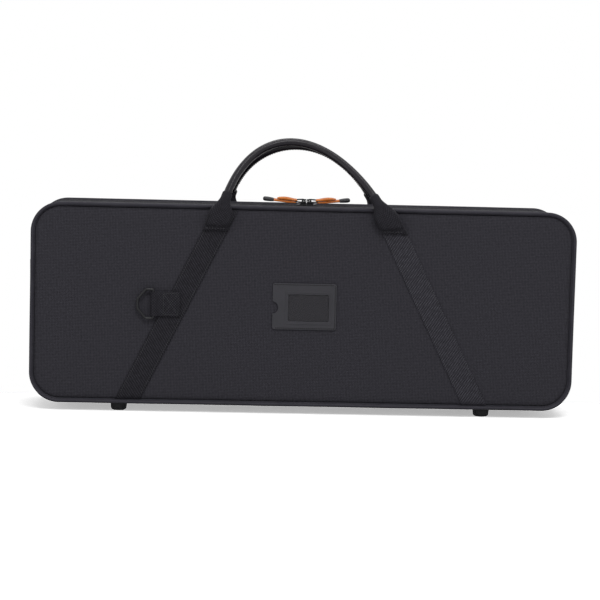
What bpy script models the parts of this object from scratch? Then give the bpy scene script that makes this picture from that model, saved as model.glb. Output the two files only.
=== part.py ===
"""Violin case: an oblong, fabric-covered case that stands on four feet and opens like a book.

Units are metres. X runs along the case, the card holder is on the front at -Y, and the floor is Z = 0.
The front half is the base. The back half is the lid, hinged along the bottom and zipped round the rest.
"""

import math

import bmesh
import bpy
from mathutils import Matrix, Vector

# Clearance between pieces that touch
GAP = 0.0003

# Case
CASE_LENGTH = 0.790
CASE_HEIGHT = 0.288
BASE_DEPTH = 0.088
LID_DEPTH = 0.052
CORNER_RADIUS = 0.042
WALL = 0.012
FACE_THICKNESS = 0.012
INNER_FILLET = 0.004
EDGE_REBATE = 0.005
PIPING_RADIUS = 0.0023
CORNER_STEPS = 8

# Feet
FOOT_HEIGHT = 0.014
FOOT_TOP_RADIUS = 0.012
FOOT_BASE_RADIUS = 0.011
FOOT_ROUND = 0.003
FOOT_FROM_END = 0.128
FOOT_FROM_FACE = 0.024

# Zip: insets are measured inward from the outside of the case
TAPE_WIDTH = 0.0155
TAPE_INSET = 0.0005
TAPE_THICKNESS = 0.0008
CHAIN_WIDTH = 0.0032
CHAIN_INSET = 0.0002
CHAIN_HEIGHT = 0.0032
CHANNEL_WIDTH = 0.007
ZIP_SKIPPED_STEPS = 2
SLIDER_PLATE = 0.0015
SLIDER_WIDTH = 0.011
SLIDER_LENGTH = 0.014
SLIDER_WEB = 0.0004
SLIDERS_MEET_X = 0.0045
SLIDERS_APART = 0.0008
BRIDGE_WIDTH = 0.0032
BRIDGE_REACH = 0.0075
BRIDGE_BAR = 0.0012

# Zip pulls: a wire loop, a folded leather tab and a moulded end cap
LOOP_WIRE_RADIUS = 0.0009
LOOP_LENGTH = 0.013
LOOP_CORNER = 0.002
TAB_LEATHER = 0.0027
TAB_WIDTH = 0.009
TAB_LENGTH = 0.039
TAB_FLAP = 0.028
TAB_LIFT = 0.003
TAB_SLOPE = 0.10
CAP_LENGTH = 0.016
CAP_WALL = 0.0013
CAP_GRIP = 0.006
CAP_CORNER = 0.0025
CAP_NOSE = 0.006

# Hinge strip along the bottom
HINGE_STRIP_LENGTH = 0.690
HINGE_STRIP_WIDTH = 0.030
HINGE_STRIP_THICKNESS = 0.001

# Straps: webbing that spreads from the handles down to the bottom seam
WEBBING_THICKNESS = 0.0018
STRAP_WIDTH = 0.033
STRAP_EDGE = 0.0006
STRAP_TOP_X = 0.113
STRAP_SLOPE = 0.496

# Handles
GRIP_RADIUS = 0.006
FRONT_HANDLE_RISE = 0.094
BACK_HANDLE_RISE = 0.0885
FRONT_HANDLE_SWAY = 0.0206
BACK_HANDLE_SWAY = 0.012
HANDLE_SLOPE = 0.44
STITCH_DROP = 0.035
SLEEVE_END_THICKNESS = 0.0044
SLEEVE_RING_RADIUS = 0.0078
SLEEVE_RING_HEIGHT = 0.018
SLEEVE_SOCKET = 0.009
SLEEVE_ROLLED_FROM = 0.8
SLEEVE_GATHERED_FROM = 0.5
SLEEVE_FLARE = 0.20
BEND_HEIGHT = 0.046
BEND_SOFTNESS = 0.010

# Card holder, placed from the middle of the front face
CARD_FRAME_LENGTH = 0.093
CARD_FRAME_HEIGHT = 0.063
CARD_FRAME_THICKNESS = 0.0022
CARD_FRAME_CORNER = 0.004
CARD_FRAME_X = 0.001
CARD_FRAME_Z = -0.0014
CARD_WINDOW_LENGTH = 0.061
CARD_WINDOW_HEIGHT = 0.041
CARD_WINDOW_SHIFT = 0.006
CARD_SHEET_MARGIN = 0.003
CARD_SHEET_THICKNESS = 0.0005
CARD_NOTCH_RADIUS = 0.0095

# Ring tabs and D-rings, placed from the middle of the face
RING_BAR_X = 0.218
RING_Z = 0.001
RING_ROD_RADIUS = 0.002
RING_HEIGHT = 0.042
RING_REACH = 0.023
RING_STRAIGHT = 0.011
RING_TIP = 0.014
RING_CORNER = 0.0028
RING_TAB_LENGTH = 0.038
RING_TAB_WEBBING = 0.0016

# Inside of the base
CUSHION_BELOW_RIM = 0.014
CUSHION_FIT = 0.0005
CUSHION_BORDER = 0.014
VIOLIN_BODY_LENGTH = 0.362
VIOLIN_NECK_LENGTH = 0.245
BODY_WELL_DEPTH = 0.052
NECK_WELL_WIDTH = 0.064
NECK_WELL_DEPTH = 0.040
ACCESSORY_WELL_DEPTH = 0.048
WELL_CORNER = 0.012
LOWER_BOUT = 0.110
WAIST = 0.077
UPPER_BOUT = 0.090
PAD_LENGTH = 0.056
LOWER_PAD_WIDTH = 0.090
UPPER_PAD_WIDTH = 0.074
PAD_HEIGHT = 0.012
PAD_FROM_END = 0.018
PAD_DRAWN_IN = 0.05
CRADLE_FROM_BODY = 0.046
CRADLE_LENGTH = 0.036
CRADLE_NOTCH_RADIUS = 0.015
CRADLE_NOTCH_DEPTH = 0.026
CRADLE_BELOW_TOP = 0.002
NECK_STRAP_WIDTH = 0.024
NECK_STRAP_THICKNESS = 0.0015

# Inside of the lid
LINING_THICKNESS = 0.009
LINING_ROUND = 0.006
BOW_SPACING = 0.110
BOW_CLIP_FROM_END = 0.110
BOW_CLIP_LENGTH = 0.034
BOW_CLIP_WIDTH = 0.018
BOW_CLIP_HEIGHT = 0.010
SPINNER_STEM_RADIUS = 0.003
SPINNER_STEM_DEPTH = 0.007
SPINNER_LENGTH = 0.038
SPINNER_WIDTH = 0.014
SPINNER_HEIGHT = 0.006
BOW_LOOP_FROM_END = 0.095
BOW_LOOP_SPAN = 0.030
BOW_LOOP_HEIGHT = 0.014
BOW_LOOP_BAND = 0.018
BOW_LOOP_THICKNESS = 0.0015

# Sides of the case and ends of it, as seen from the front
FRONT, BACK = -1, 1
LEFT, RIGHT = -1, 1
ALONG_X, ALONG_Y, ALONG_Z = Vector((1, 0, 0)), Vector((0, 1, 0)), Vector((0, 0, 1))

# Levels worked out from the sizes above
CASE_DEPTH = BASE_DEPTH + LID_DEPTH
PARTING_Y = BASE_DEPTH - CASE_DEPTH / 2
SHELL_TOP = FOOT_HEIGHT + CASE_HEIGHT
SHELL_MIDDLE = FOOT_HEIGHT + CASE_HEIGHT / 2
TAPE_REBATE = TAPE_INSET + TAPE_THICKNESS + GAP
CHANNEL_DEPTH = CHAIN_INSET + CHAIN_HEIGHT + SLIDER_PLATE + 2 * GAP
CHAIN_FROM_PARTING = SLIDER_WEB / 2 + GAP
TAB_EYE = LOOP_WIRE_RADIUS + GAP
TAB_FOLD = TAB_EYE + TAB_LEATHER
PIN_FROM_NOSE = LOOP_WIRE_RADIUS + 2 * GAP + BRIDGE_BAR
PIN_HEIGHT = SHELL_TOP + TAB_LIFT + TAB_FOLD
LOOP_HALF_WIDTH = TAB_WIDTH / 2 + 2 * GAP + LOOP_WIRE_RADIUS
STRAP_FACE = GAP + WEBBING_THICKNESS
STITCH_HEIGHT = STRAP_FACE + GAP + SLEEVE_END_THICKNESS / 2
RING_TAB_EYE = RING_ROD_RADIUS + GAP
RING_TAB_HEIGHT = RING_HEIGHT - 2 * (RING_CORNER + GAP)
RING_BAR_HEIGHT = STRAP_FACE + GAP + RING_TAB_WEBBING + RING_TAB_EYE
BASE_FLOOR_Y = FACE_THICKNESS + GAP - CASE_DEPTH / 2
CUSHION_TOP_Y = PARTING_Y - CUSHION_BELOW_RIM
CUSHION_INSET = WALL + CUSHION_FIT
BODY_WELL_X = CUSHION_INSET + CUSHION_BORDER - CASE_LENGTH / 2
BODY_WELL_END = BODY_WELL_X + VIOLIN_BODY_LENGTH
NECK_END = BODY_WELL_END + VIOLIN_NECK_LENGTH
LINING_FACE_Y = CASE_DEPTH / 2 - FACE_THICKNESS - GAP - LINING_THICKNESS

# Finishes: colour, roughness, metallic
COVER_FABRIC = ("313035", 0.85, 0.0)
PIPING_VINYL = ("2e2d31", 0.45, 0.0)
WEBBING = ("29292b", 0.80, 0.0)
GRIP_LEATHER = ("242226", 0.42, 0.0)
FRAME_VINYL = ("3c3b3f", 0.50, 0.0)
CLEAR_SHEET = ("38373b", 0.15, 0.0)
BLACK_METAL = ("202023", 0.35, 0.8)
BLACK_RUBBER = ("1f1f22", 0.65, 0.0)
ORANGE_LEATHER = ("e08433", 0.50, 0.0)
ZIP_NYLON = ("1d1d20", 0.55, 0.0)
PLUSH = ("3a3a42", 0.95, 0.0)
LINING_FABRIC = ("45454d", 0.90, 0.0)


def linear_colour(hex_code):
    """Linear red, green, blue and alpha of an sRGB hex code."""
    levels = [int(hex_code[i : i + 2], 16) / 255 for i in (0, 2, 4)]
    return [v / 12.92 if v <= 0.04045 else ((v + 0.055) / 1.055) ** 2.4 for v in levels] + [1.0]


def make_material(name, finish):
    """A Principled material of a sub-part's own."""
    colour, roughness, metallic = finish
    material = bpy.data.materials.new(name)
    material.use_nodes = True
    shader = material.node_tree.nodes["Principled BSDF"]
    shader.inputs["Base Color"].default_value = linear_colour(colour)
    shader.inputs["Roughness"].default_value = roughness
    shader.inputs["Metallic"].default_value = metallic
    return material


def make_object(name, shape, finish):
    """A named sub-part from a closed bmesh, with its faces turned outward."""
    bmesh.ops.recalc_face_normals(shape, faces=shape.faces)
    mesh = bpy.data.meshes.new(name)
    shape.to_mesh(mesh)
    shape.free()
    mesh.shade_smooth()
    mesh.set_sharp_from_angle(angle=math.radians(35))
    mesh.materials.append(make_material(name, finish))
    part = bpy.data.objects.new(name, mesh)
    bpy.context.scene.collection.objects.link(part)
    return part


def combine(part, shape, operation):
    """Joins a helper shape to a part, or cuts it away, with a Boolean modifier."""
    helper = make_object(f"{part.name}_{operation.lower()}_{len(part.modifiers)}", shape, BLACK_RUBBER)
    helper.hide_render = True
    helper.display_type = "WIRE"
    boolean = part.modifiers.new(operation.title(), "BOOLEAN")
    boolean.operation = operation
    boolean.object = helper


def set_pivot(name, place, parts):
    """Hangs parts on an empty that lies on their joint's axis."""
    pivot = bpy.data.objects.new(name, None)
    pivot.location = place
    bpy.context.scene.collection.objects.link(pivot)
    for part in parts:
        part.parent = pivot
        part.matrix_parent_inverse = Matrix.Translation(-Vector(place))
    return pivot


def loft(rings, closed=False):
    """A skin over rings of points, with flat ends, or with its end joined to its start."""
    shape = bmesh.new()
    rows = [[shape.verts.new(point) for point in ring] for ring in rings]
    following = rows[1:] + rows[:1] if closed else rows[1:]
    for row, other in zip(rows, following):
        for i in range(len(row)):
            shape.faces.new((row[i - 1], row[i], other[i], other[i - 1]))
    if not closed:
        shape.faces.new(rows[0])
        shape.faces.new(rows[-1])
    return shape


def place(points, origin, across, up):
    """Flat points set in space along two directions."""
    return [origin + across * p + up * q for p, q in points]


def prism(points, origin, across, up, length):
    """A flat outline drawn out along a vector."""
    ring = place(points, origin, across, up)
    return loft([ring, [point + length for point in ring]])


def arc(centre, radius, start, end, steps):
    """Points of an arc, with angles in degrees."""
    angles = [math.radians(start + (end - start) * i / steps) for i in range(steps + 1)]
    return [(centre[0] + radius * math.cos(a), centre[1] + radius * math.sin(a)) for a in angles]


def circle(radius, sides):
    """Points of a circle about the origin."""
    return arc((0, 0), radius, 0, 360, sides)[:-1]


def superellipse(half_width, half_height, power, sides):
    """Points of an oval that grows squarer with its power."""
    points = []
    for x, y in circle(1, sides):
        points.append(
            (
                half_width * math.copysign(abs(x) ** (2 / power), x),
                half_height * math.copysign(abs(y) ** (2 / power), y),
            )
        )
    return points


def rounded_polygon(corners, radius, steps):
    """A closed outline whose corners are rounded by arcs that touch both of their sides."""
    points = []
    for i, corner in enumerate(Vector(c) for c in corners):
        back = (Vector(corners[i - 1]) - corner).normalized()
        ahead = (Vector(corners[(i + 1) % len(corners)]) - corner).normalized()
        half_angle = back.angle(ahead) / 2
        centre = corner + (back + ahead).normalized() * radius / math.sin(half_angle)
        first = corner + back * radius / math.tan(half_angle) - centre
        last = corner + ahead * radius / math.tan(half_angle) - centre
        for step in range(steps + 1):
            points.append(tuple(centre + first.lerp(last, step / steps).normalized() * radius))
    return points


def rounded_rectangle(length, height, radius, steps):
    """A rounded rectangle about the origin."""
    x, y = length / 2, height / 2
    return rounded_polygon([(x, -y), (x, y), (-x, y), (-x, -y)], radius, steps)


def smooth_outline(points, steps):
    """A closed curve through points, by Catmull-Rom steps."""
    curve = []
    for i in range(len(points)):
        a, b, c, d = (Vector(points[(i + k) % len(points)]) for k in (-1, 0, 1, 2))
        for step in range(steps):
            t = step / steps
            bend = (2 * a - 5 * b + 4 * c - d) * t**2 + (3 * b - a - 3 * c + d) * t**3
            curve.append(tuple((2 * b + (c - a) * t + bend) / 2))
    return curve


def wire_loop(path, radius, sides, normal):
    """A closed loop of round wire along a flat path."""
    rings = []
    for i, point in enumerate(path):
        along = (path[(i + 1) % len(path)] - path[i - 1]).normalized()
        rings.append(place(circle(radius, sides), point, along.cross(normal), normal))
    return loft(rings, closed=True)


def hairpin(eye, thickness, length, flap):
    """The edge of a strip folded round a rod at the origin, with its flap doubled over its flat length."""
    fold = eye + thickness
    run_in = 2.5 * fold
    flat = 2 * thickness + GAP - fold
    outer = [(length, -fold)] + arc((0, 0), fold, 270, 90, 8) + [(run_in, flat), (flap, flat)]
    inner = arc((0, 0), eye, 90, 270, 6)
    slit = [(flap, flat - thickness), (run_in, flat - thickness)]
    return outer + slit + inner + [(length, -eye)]


def face_y(side, height):
    """Y of a point that stands a height proud of the front or back face."""
    return side * (CASE_DEPTH / 2 + height)


def outline_stations():
    """Corner centres and outward directions round the case, from the bottom right over the top."""
    x = CASE_LENGTH / 2 - CORNER_RADIUS
    z = CASE_HEIGHT / 2 - CORNER_RADIUS
    stations = []
    for quarter, (end, level) in enumerate(((RIGHT, -1), (RIGHT, 1), (LEFT, 1), (LEFT, -1))):
        centre = Vector((end * x, 0, SHELL_MIDDLE + level * z))
        for cos, sin in arc((0, 0), 1, 90 * (quarter - 1), 90 * quarter, CORNER_STEPS):
            stations.append((centre, Vector((cos, 0, sin))))
    return stations


def outline_point(station, inset, y):
    """A point on the case outline, moved inward by an inset."""
    centre, outward = station
    return centre + outward * (CORNER_RADIUS - inset) + ALONG_Y * y


def outline_ring(inset, y):
    """The case outline at one depth."""
    return [outline_point(station, inset, y) for station in outline_stations()]


def build_shell(name, side, depth):
    """One half of the case: a tray with a rebate for the piping and a stepped rim for the zip."""
    tape_edge = depth - TAPE_WIDTH - GAP
    rim = depth - GAP / 2
    steps = (
        (EDGE_REBATE, 0),
        (0, EDGE_REBATE),
        (0, tape_edge),
        (TAPE_REBATE, tape_edge),
        (TAPE_REBATE, depth - CHANNEL_WIDTH),
        (CHANNEL_DEPTH, depth - CHANNEL_WIDTH),
        (CHANNEL_DEPTH, rim),
        (WALL, rim),
        (WALL, FACE_THICKNESS + INNER_FILLET),
        (WALL + INNER_FILLET, FACE_THICKNESS),
    )
    rings = [outline_ring(inset, face_y(side, -step)) for inset, step in steps]
    return make_object(name, loft(rings), COVER_FABRIC)


def build_piping(name, side):
    """The corded edge of a face, lying in the shell's rebate."""
    inset = EDGE_REBATE / 2 - (PIPING_RADIUS + GAP) / math.sqrt(2)
    rings = []
    for station in outline_stations():
        centre = outline_point(station, inset, face_y(side, -inset))
        rings.append(place(circle(PIPING_RADIUS, 10), centre, station[1], ALONG_Y))
    return make_object(name, loft(rings, closed=True), PIPING_VINYL)


def build_zip(name, side):
    """Half of the zip: a woven tape with the bead of its teeth along one edge."""
    tape_back = TAPE_INSET + TAPE_THICKNESS
    chain_back = CHAIN_INSET + CHAIN_HEIGHT
    section = (
        (CHAIN_FROM_PARTING, CHAIN_INSET),
        (CHAIN_WIDTH, CHAIN_INSET),
        (CHAIN_WIDTH, TAPE_INSET),
        (TAPE_WIDTH, TAPE_INSET),
        (TAPE_WIDTH, tape_back),
        (CHAIN_WIDTH, tape_back),
        (CHAIN_WIDTH, chain_back),
        (CHAIN_FROM_PARTING, chain_back),
    )
    rings = []
    for station in outline_stations()[ZIP_SKIPPED_STEPS:-ZIP_SKIPPED_STEPS]:
        rings.append([outline_point(station, inset, PARTING_Y + side * y) for y, inset in section])
    return make_object(name, loft(rings), ZIP_NYLON)


def build_hinge_strip():
    """The fabric strip that joins the two halves along the bottom, lying in their rebates."""
    size = rounded_rectangle(HINGE_STRIP_LENGTH, HINGE_STRIP_WIDTH, WALL / 2, 3)
    top = Vector((0, PARTING_Y, FOOT_HEIGHT + TAPE_REBATE - GAP))
    shape = prism(size, top, ALONG_X, ALONG_Y, -ALONG_Z * HINGE_STRIP_THICKNESS)
    return make_object("hinge_strip", shape, COVER_FABRIC)


def build_foot(name, end, side):
    """A turned foot with a rounded lower edge."""
    profile = (
        (FOOT_TOP_RADIUS, FOOT_HEIGHT - GAP),
        (FOOT_BASE_RADIUS, FOOT_ROUND),
        (FOOT_BASE_RADIUS - 0.3 * FOOT_ROUND, 0.3 * FOOT_ROUND),
        (FOOT_BASE_RADIUS - FOOT_ROUND, 0),
    )
    x = end * (CASE_LENGTH / 2 - FOOT_FROM_END)
    middle = Vector((x, face_y(side, -FOOT_FROM_FACE), 0))
    rings = [place(circle(r, 20), middle + ALONG_Z * z, ALONG_X, ALONG_Y) for r, z in profile]
    return make_object(name, loft(rings), BLACK_RUBBER)


def strap_x(end, height):
    """X of a strap's middle at a height above the case top."""
    return end * (STRAP_TOP_X - height * STRAP_SLOPE)


def strap_half_width():
    """Half of a slanting strap's width, measured along X."""
    return STRAP_WIDTH / 2 * math.hypot(1, STRAP_SLOPE)


def build_strap(name, end, side):
    """A flat strap with thin edges, from the top seam down to the bottom seam."""
    half = strap_half_width()
    section = (
        (-half, WEBBING_THICKNESS / 2),
        (STRAP_EDGE - half, 0),
        (half - STRAP_EDGE, 0),
        (half, WEBBING_THICKNESS / 2),
        (half - STRAP_EDGE, WEBBING_THICKNESS),
        (STRAP_EDGE - half, WEBBING_THICKNESS),
    )
    rings = []
    for height in (-EDGE_REBATE, EDGE_REBATE - CASE_HEIGHT):
        middle = Vector((strap_x(end, height), face_y(side, GAP), SHELL_TOP + height))
        rings.append(place(section, middle, ALONG_X, ALONG_Y * side))
    return make_object(name, loft(rings), WEBBING)


def arch_half_width(rise, height):
    """Half width of a handle at a height above the case top: a conic that runs on from straight sleeves."""
    top_x = STRAP_TOP_X + STITCH_DROP * (STRAP_SLOPE - HANDLE_SLOPE)
    if height <= 0:
        return top_x - height * HANDLE_SLOPE
    fall = (top_x / rise) ** 2 - 2 * HANDLE_SLOPE * top_x / rise
    lead = 2 * HANDLE_SLOPE * top_x + 2 * fall * rise
    drop = rise - height
    return math.sqrt(drop * (lead - fall * drop))


def handle_point(side, rise, end, height):
    """A point on a handle's middle line, which climbs the face, leans over the top and sways left."""
    climb, reach = height + STITCH_DROP, rise + STITCH_DROP

    def bend(distance):
        past = distance - BEND_HEIGHT
        return (math.hypot(past, BEND_SOFTNESS) + past) / 2

    overall = STITCH_HEIGHT + SLEEVE_FLARE * reach + CASE_DEPTH / 2 - GRIP_RADIUS - GAP
    lean = overall / (bend(reach) - bend(0))
    stand_off = STITCH_HEIGHT + SLEEVE_FLARE * climb - lean * (bend(climb) - bend(0))
    sway = FRONT_HANDLE_SWAY if side == FRONT else BACK_HANDLE_SWAY
    x = end * arch_half_width(rise, height) - sway * climb / reach
    return Vector((x, face_y(side, stand_off), SHELL_TOP + height))


def section_axes(before, after):
    """Directions across a tube and through it, square to its run."""
    run = (after - before).normalized()
    through = (ALONG_Y - run * ALONG_Y.dot(run)).normalized()
    return through.cross(run), through


def build_grip(name, side, rise):
    """The leather-covered tube of a handle, from socket to socket."""
    end_height = SLEEVE_RING_HEIGHT - SLEEVE_SOCKET + GAP
    last_turn = math.sqrt(1 - end_height / rise)
    steps = 32

    def at(step):
        turn = last_turn * (2 * step / steps - 1)
        return handle_point(side, rise, math.copysign(1, turn), rise * (1 - turn**2))

    rings = []
    for step in range(steps + 1):
        axes = section_axes(at(step - 0.01), at(step + 0.01))
        rings.append(place(circle(GRIP_RADIUS, 12), at(step), *axes))
    return make_object(name, loft(rings), GRIP_LEATHER)


def build_sleeve(name, side, rise, end):
    """The webbing sleeve of a handle: flat where it is sewn down, and rolled round the grip above."""
    span = SLEEVE_RING_HEIGHT + STITCH_DROP
    sides = 16

    def rolled_share(share):
        return min(1, share / SLEEVE_ROLLED_FROM)

    def ring(share, half_width, half_thickness, power):
        height = share * span - STITCH_DROP
        probe = 0.01 * span
        before = handle_point(side, rise, end, height - probe)
        after = handle_point(side, rise, end, height + probe)
        across, through = section_axes(before, after)
        if across.x < 0:
            across = -across
        turned = rolled_share(share)
        across = ALONG_X.lerp(across, turned).normalized()
        through = ALONG_Y.lerp(through, turned).normalized()
        section = superellipse(half_width, half_thickness, power, sides)
        return place(section, handle_point(side, rise, end, height), across, through)

    flat = SLEEVE_END_THICKNESS / 2
    rings = []
    for p, q in arc((0, 0), flat, -75, 0, 3)[:-1]:
        rings.append([point + ALONG_Z * q for point in ring(0, strap_half_width(), p, 4)])
    steps = 9
    for step in range(steps + 1):
        share = step / steps
        rolled = rolled_share(share)
        gathered = max(0, share - SLEEVE_GATHERED_FROM) / (1 - SLEEVE_GATHERED_FROM)
        eased = gathered**2 * (3 - 2 * gathered)
        half_width = strap_half_width() + (SLEEVE_RING_RADIUS - strap_half_width()) * eased
        half_thickness = flat + (SLEEVE_RING_RADIUS - flat) * rolled
        rings.append(ring(share, half_width, half_thickness, 4 - 2 * rolled))
    socket_radius = GRIP_RADIUS + 2 * GAP
    for depth in (0, SLEEVE_SOCKET):
        rings.append(ring(1 - depth / span, socket_radius, socket_radius, 2))
    return make_object(name, loft(rings), WEBBING)


def build_handle(side_name, side, rise):
    """A handle's grip and sleeves, turning on the stitch line of the sleeves."""
    parts = [build_grip(f"{side_name}_handle_grip", side, rise)]
    for end_name, end in (("left", LEFT), ("right", RIGHT)):
        parts.append(build_sleeve(f"{side_name}_handle_sleeve_{end_name}", side, rise, end))
    axis = Vector((0, face_y(side, STITCH_HEIGHT), SHELL_TOP - STITCH_DROP))
    return set_pivot(f"{side_name}_handle_pivot", axis, parts)


def build_card_holder():
    """A vinyl frame with a thumb notch, over a clear sheet."""
    middle = Vector((CARD_FRAME_X, face_y(FRONT, GAP), SHELL_MIDDLE + CARD_FRAME_Z))
    out = -ALONG_Y
    plate = rounded_rectangle(CARD_FRAME_LENGTH, CARD_FRAME_HEIGHT, CARD_FRAME_CORNER, 4)
    frame = make_object(
        "card_frame", prism(plate, middle, ALONG_X, ALONG_Z, out * CARD_FRAME_THICKNESS), FRAME_VINYL
    )
    window_middle = middle + ALONG_X * CARD_WINDOW_SHIFT
    window = rounded_rectangle(CARD_WINDOW_LENGTH, CARD_WINDOW_HEIGHT, CARD_FRAME_CORNER / 4, 2)
    through = out * 3 * CARD_FRAME_THICKNESS
    below = -out * CARD_FRAME_THICKNESS
    combine(frame, prism(window, window_middle + below, ALONG_X, ALONG_Z, through), "DIFFERENCE")
    sheet_length = CARD_WINDOW_LENGTH + 2 * CARD_SHEET_MARGIN
    sheet_height = CARD_WINDOW_HEIGHT + 2 * CARD_SHEET_MARGIN
    pocket = rounded_rectangle(sheet_length + 2 * GAP, sheet_height + 2 * GAP, CARD_SHEET_MARGIN / 2, 2)
    pocket_depth = CARD_SHEET_THICKNESS + GAP
    recess = out * (CARD_FRAME_THICKNESS + pocket_depth)
    combine(frame, prism(pocket, window_middle + below, ALONG_X, ALONG_Z, recess), "DIFFERENCE")
    notch_middle = middle - ALONG_X * CARD_FRAME_LENGTH / 2
    notch = circle(CARD_NOTCH_RADIUS, 24)
    combine(frame, prism(notch, notch_middle + below, ALONG_X, ALONG_Z, through), "DIFFERENCE")
    sheet = rounded_rectangle(sheet_length, sheet_height, CARD_SHEET_MARGIN / 2, 2)
    thickness = out * CARD_SHEET_THICKNESS
    make_object("card_window", prism(sheet, window_middle, ALONG_X, ALONG_Z, thickness), CLEAR_SHEET)


def build_ring(side_name, side):
    """A D-ring and the folded webbing tab that holds it on the strap at the viewer's left of its face."""
    bar = Vector((side * RING_BAR_X, face_y(side, RING_BAR_HEIGHT), SHELL_MIDDLE + RING_Z))
    outward = ALONG_X * side
    tab_foot = bar - ALONG_Z * RING_TAB_HEIGHT / 2
    fold = hairpin(RING_TAB_EYE, RING_TAB_WEBBING, RING_TAB_LENGTH, RING_TAB_LENGTH)
    shape = prism(fold, tab_foot, -outward, ALONG_Y * side, ALONG_Z * RING_TAB_HEIGHT)
    make_object(f"{side_name}_ring_tab", shape, WEBBING)
    half = RING_HEIGHT / 2
    corners = (
        (0, -half),
        (RING_STRAIGHT, -half),
        (RING_REACH, -RING_TIP / 2),
        (RING_REACH, RING_TIP / 2),
        (RING_STRAIGHT, half),
        (0, half),
    )
    path = place(rounded_polygon(corners, RING_CORNER, 3), bar, outward, ALONG_Z)
    loop = make_object(f"{side_name}_d_ring", wire_loop(path, RING_ROD_RADIUS, 10, ALONG_Y), BLACK_METAL)
    set_pivot(f"{side_name}_d_ring_pivot", bar, [loop])


def slider_nose(end):
    """X of the nose of a slider, where the two sliders meet."""
    return SLIDERS_MEET_X + end * SLIDERS_APART / 2


def build_slider(end_name, end):
    """A zip slider: two plates and a web round the chain, with a bridge that holds the pull."""
    half = SLIDER_WIDTH / 2
    web = SLIDER_WEB / 2
    upper = GAP - CHAIN_INSET
    lower = -CHAIN_INSET - CHAIN_HEIGHT - GAP
    section = [
        (-half, upper + SLIDER_PLATE),
        (-half, upper),
        (-web, upper),
        (-web, lower),
        (-half, lower),
        (-half, lower - SLIDER_PLATE),
    ]
    section += [(-y, z) for y, z in reversed(section)]
    out = ALONG_X * end
    nose = Vector((slider_nose(end), PARTING_Y, SHELL_TOP))
    body = prism(section, nose, ALONG_Y, ALONG_Z, out * SLIDER_LENGTH)
    slider = make_object(f"zip_slider_{end_name}", body, BLACK_METAL)
    top = PIN_FROM_NOSE
    eye_half = top - BRIDGE_BAR
    foot = SHELL_TOP + upper + SLIDER_PLATE / 2 - PIN_HEIGHT
    outer = rounded_polygon([(BRIDGE_REACH, foot), (top, top), (-top, top), (-top, foot)], BRIDGE_BAR / 2, 3)
    eye = rounded_rectangle(2 * eye_half, 2 * eye_half, eye_half / 2, 3)
    pin = pull_pin(end)
    near, far = pin - ALONG_Y * BRIDGE_WIDTH / 2, pin + ALONG_Y * BRIDGE_WIDTH / 2
    faces = ((outer, near), (outer, far), (eye, far), (eye, near))
    rings = [place(points, origin, out, ALONG_Z) for points, origin in faces]
    combine(slider, loft(rings, closed=True), "UNION")
    return slider


def pull_pin(end):
    """Middle of the bar that a pull turns on, just behind its slider's nose."""
    return Vector((slider_nose(end) + end * PIN_FROM_NOSE, PARTING_Y, PIN_HEIGHT))


def build_pull(end_name, end):
    """A zip pull that lies over the case top: wire loop, folded leather tab and end cap."""
    pin = pull_pin(end)
    out = ALONG_X * end
    corners = [
        (0, -LOOP_HALF_WIDTH),
        (LOOP_LENGTH, -LOOP_HALF_WIDTH),
        (LOOP_LENGTH, LOOP_HALF_WIDTH),
        (0, LOOP_HALF_WIDTH),
    ]
    path = place(rounded_polygon(corners, LOOP_CORNER, 3), pin, out, ALONG_Y)
    loop = make_object(f"pull_loop_{end_name}", wire_loop(path, LOOP_WIRE_RADIUS, 8, ALONG_Z), BLACK_METAL)
    far_bar = pin + out * LOOP_LENGTH
    fold = hairpin(TAB_EYE, TAB_LEATHER, TAB_LENGTH, TAB_FLAP)
    edge = far_bar - ALONG_Y * TAB_WIDTH / 2
    run = (out + ALONG_Z * TAB_SLOPE).normalized()
    rise = (ALONG_Z - out * TAB_SLOPE).normalized()
    tab_shape = prism(fold, edge, run, rise, ALONG_Y * TAB_WIDTH)
    tab = make_object(f"pull_tab_{end_name}", tab_shape, ORANGE_LEATHER)
    mouth = far_bar + run * (TAB_LENGTH - CAP_GRIP) + rise * (TAB_LEATHER / 2 - TAB_FOLD)
    width = TAB_WIDTH + 2 * (GAP + CAP_WALL)
    height = TAB_LEATHER + 2 * (GAP + CAP_WALL)
    rings = []
    for cos, sin in arc((0, 0), 1, 75, 0, 4):
        section = rounded_rectangle(cos * width, cos * height, cos * CAP_CORNER, 3)
        rings.append(place(section, mouth + run * (CAP_LENGTH - CAP_NOSE * (1 - sin)), ALONG_Y, rise))
    rings.append(place(section, mouth, ALONG_Y, rise))
    bore = rounded_rectangle(TAB_WIDTH + 2 * GAP, TAB_LEATHER + 2 * GAP, GAP, 3)
    for depth in (0, CAP_GRIP + GAP):
        rings.append(place(bore, mouth + run * depth, ALONG_Y, rise))
    cap = make_object(f"pull_cap_{end_name}", loft(rings), BLACK_RUBBER)
    return set_pivot(f"pull_pivot_{end_name}", pin, [loop, tab, cap])


def build_zip_end(end_name, end):
    """A slider and its pull, which rides on the slider."""
    slider = build_slider(end_name, end)
    pull_pivot = build_pull(end_name, end)
    set_pivot(f"zip_slider_pivot_{end_name}", (slider_nose(end), PARTING_Y, SHELL_TOP), [slider, pull_pivot])


def body_well_outline():
    """A loose violin body outline, from the tail at the origin to the neck along +X."""
    length = VIOLIN_BODY_LENGTH
    half = [
        (0.06 * length, 0.64 * LOWER_BOUT),
        (0.235 * length, LOWER_BOUT),
        (0.51 * length, WAIST),
        (0.79 * length, UPPER_BOUT),
        (0.94 * length, 0.64 * UPPER_BOUT),
    ]
    mirrored = [(x, -z) for x, z in reversed(half)]
    return smooth_outline([(0, 0)] + mirrored[::-1] + [(length, 0)] + half[::-1], 5)


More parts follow.
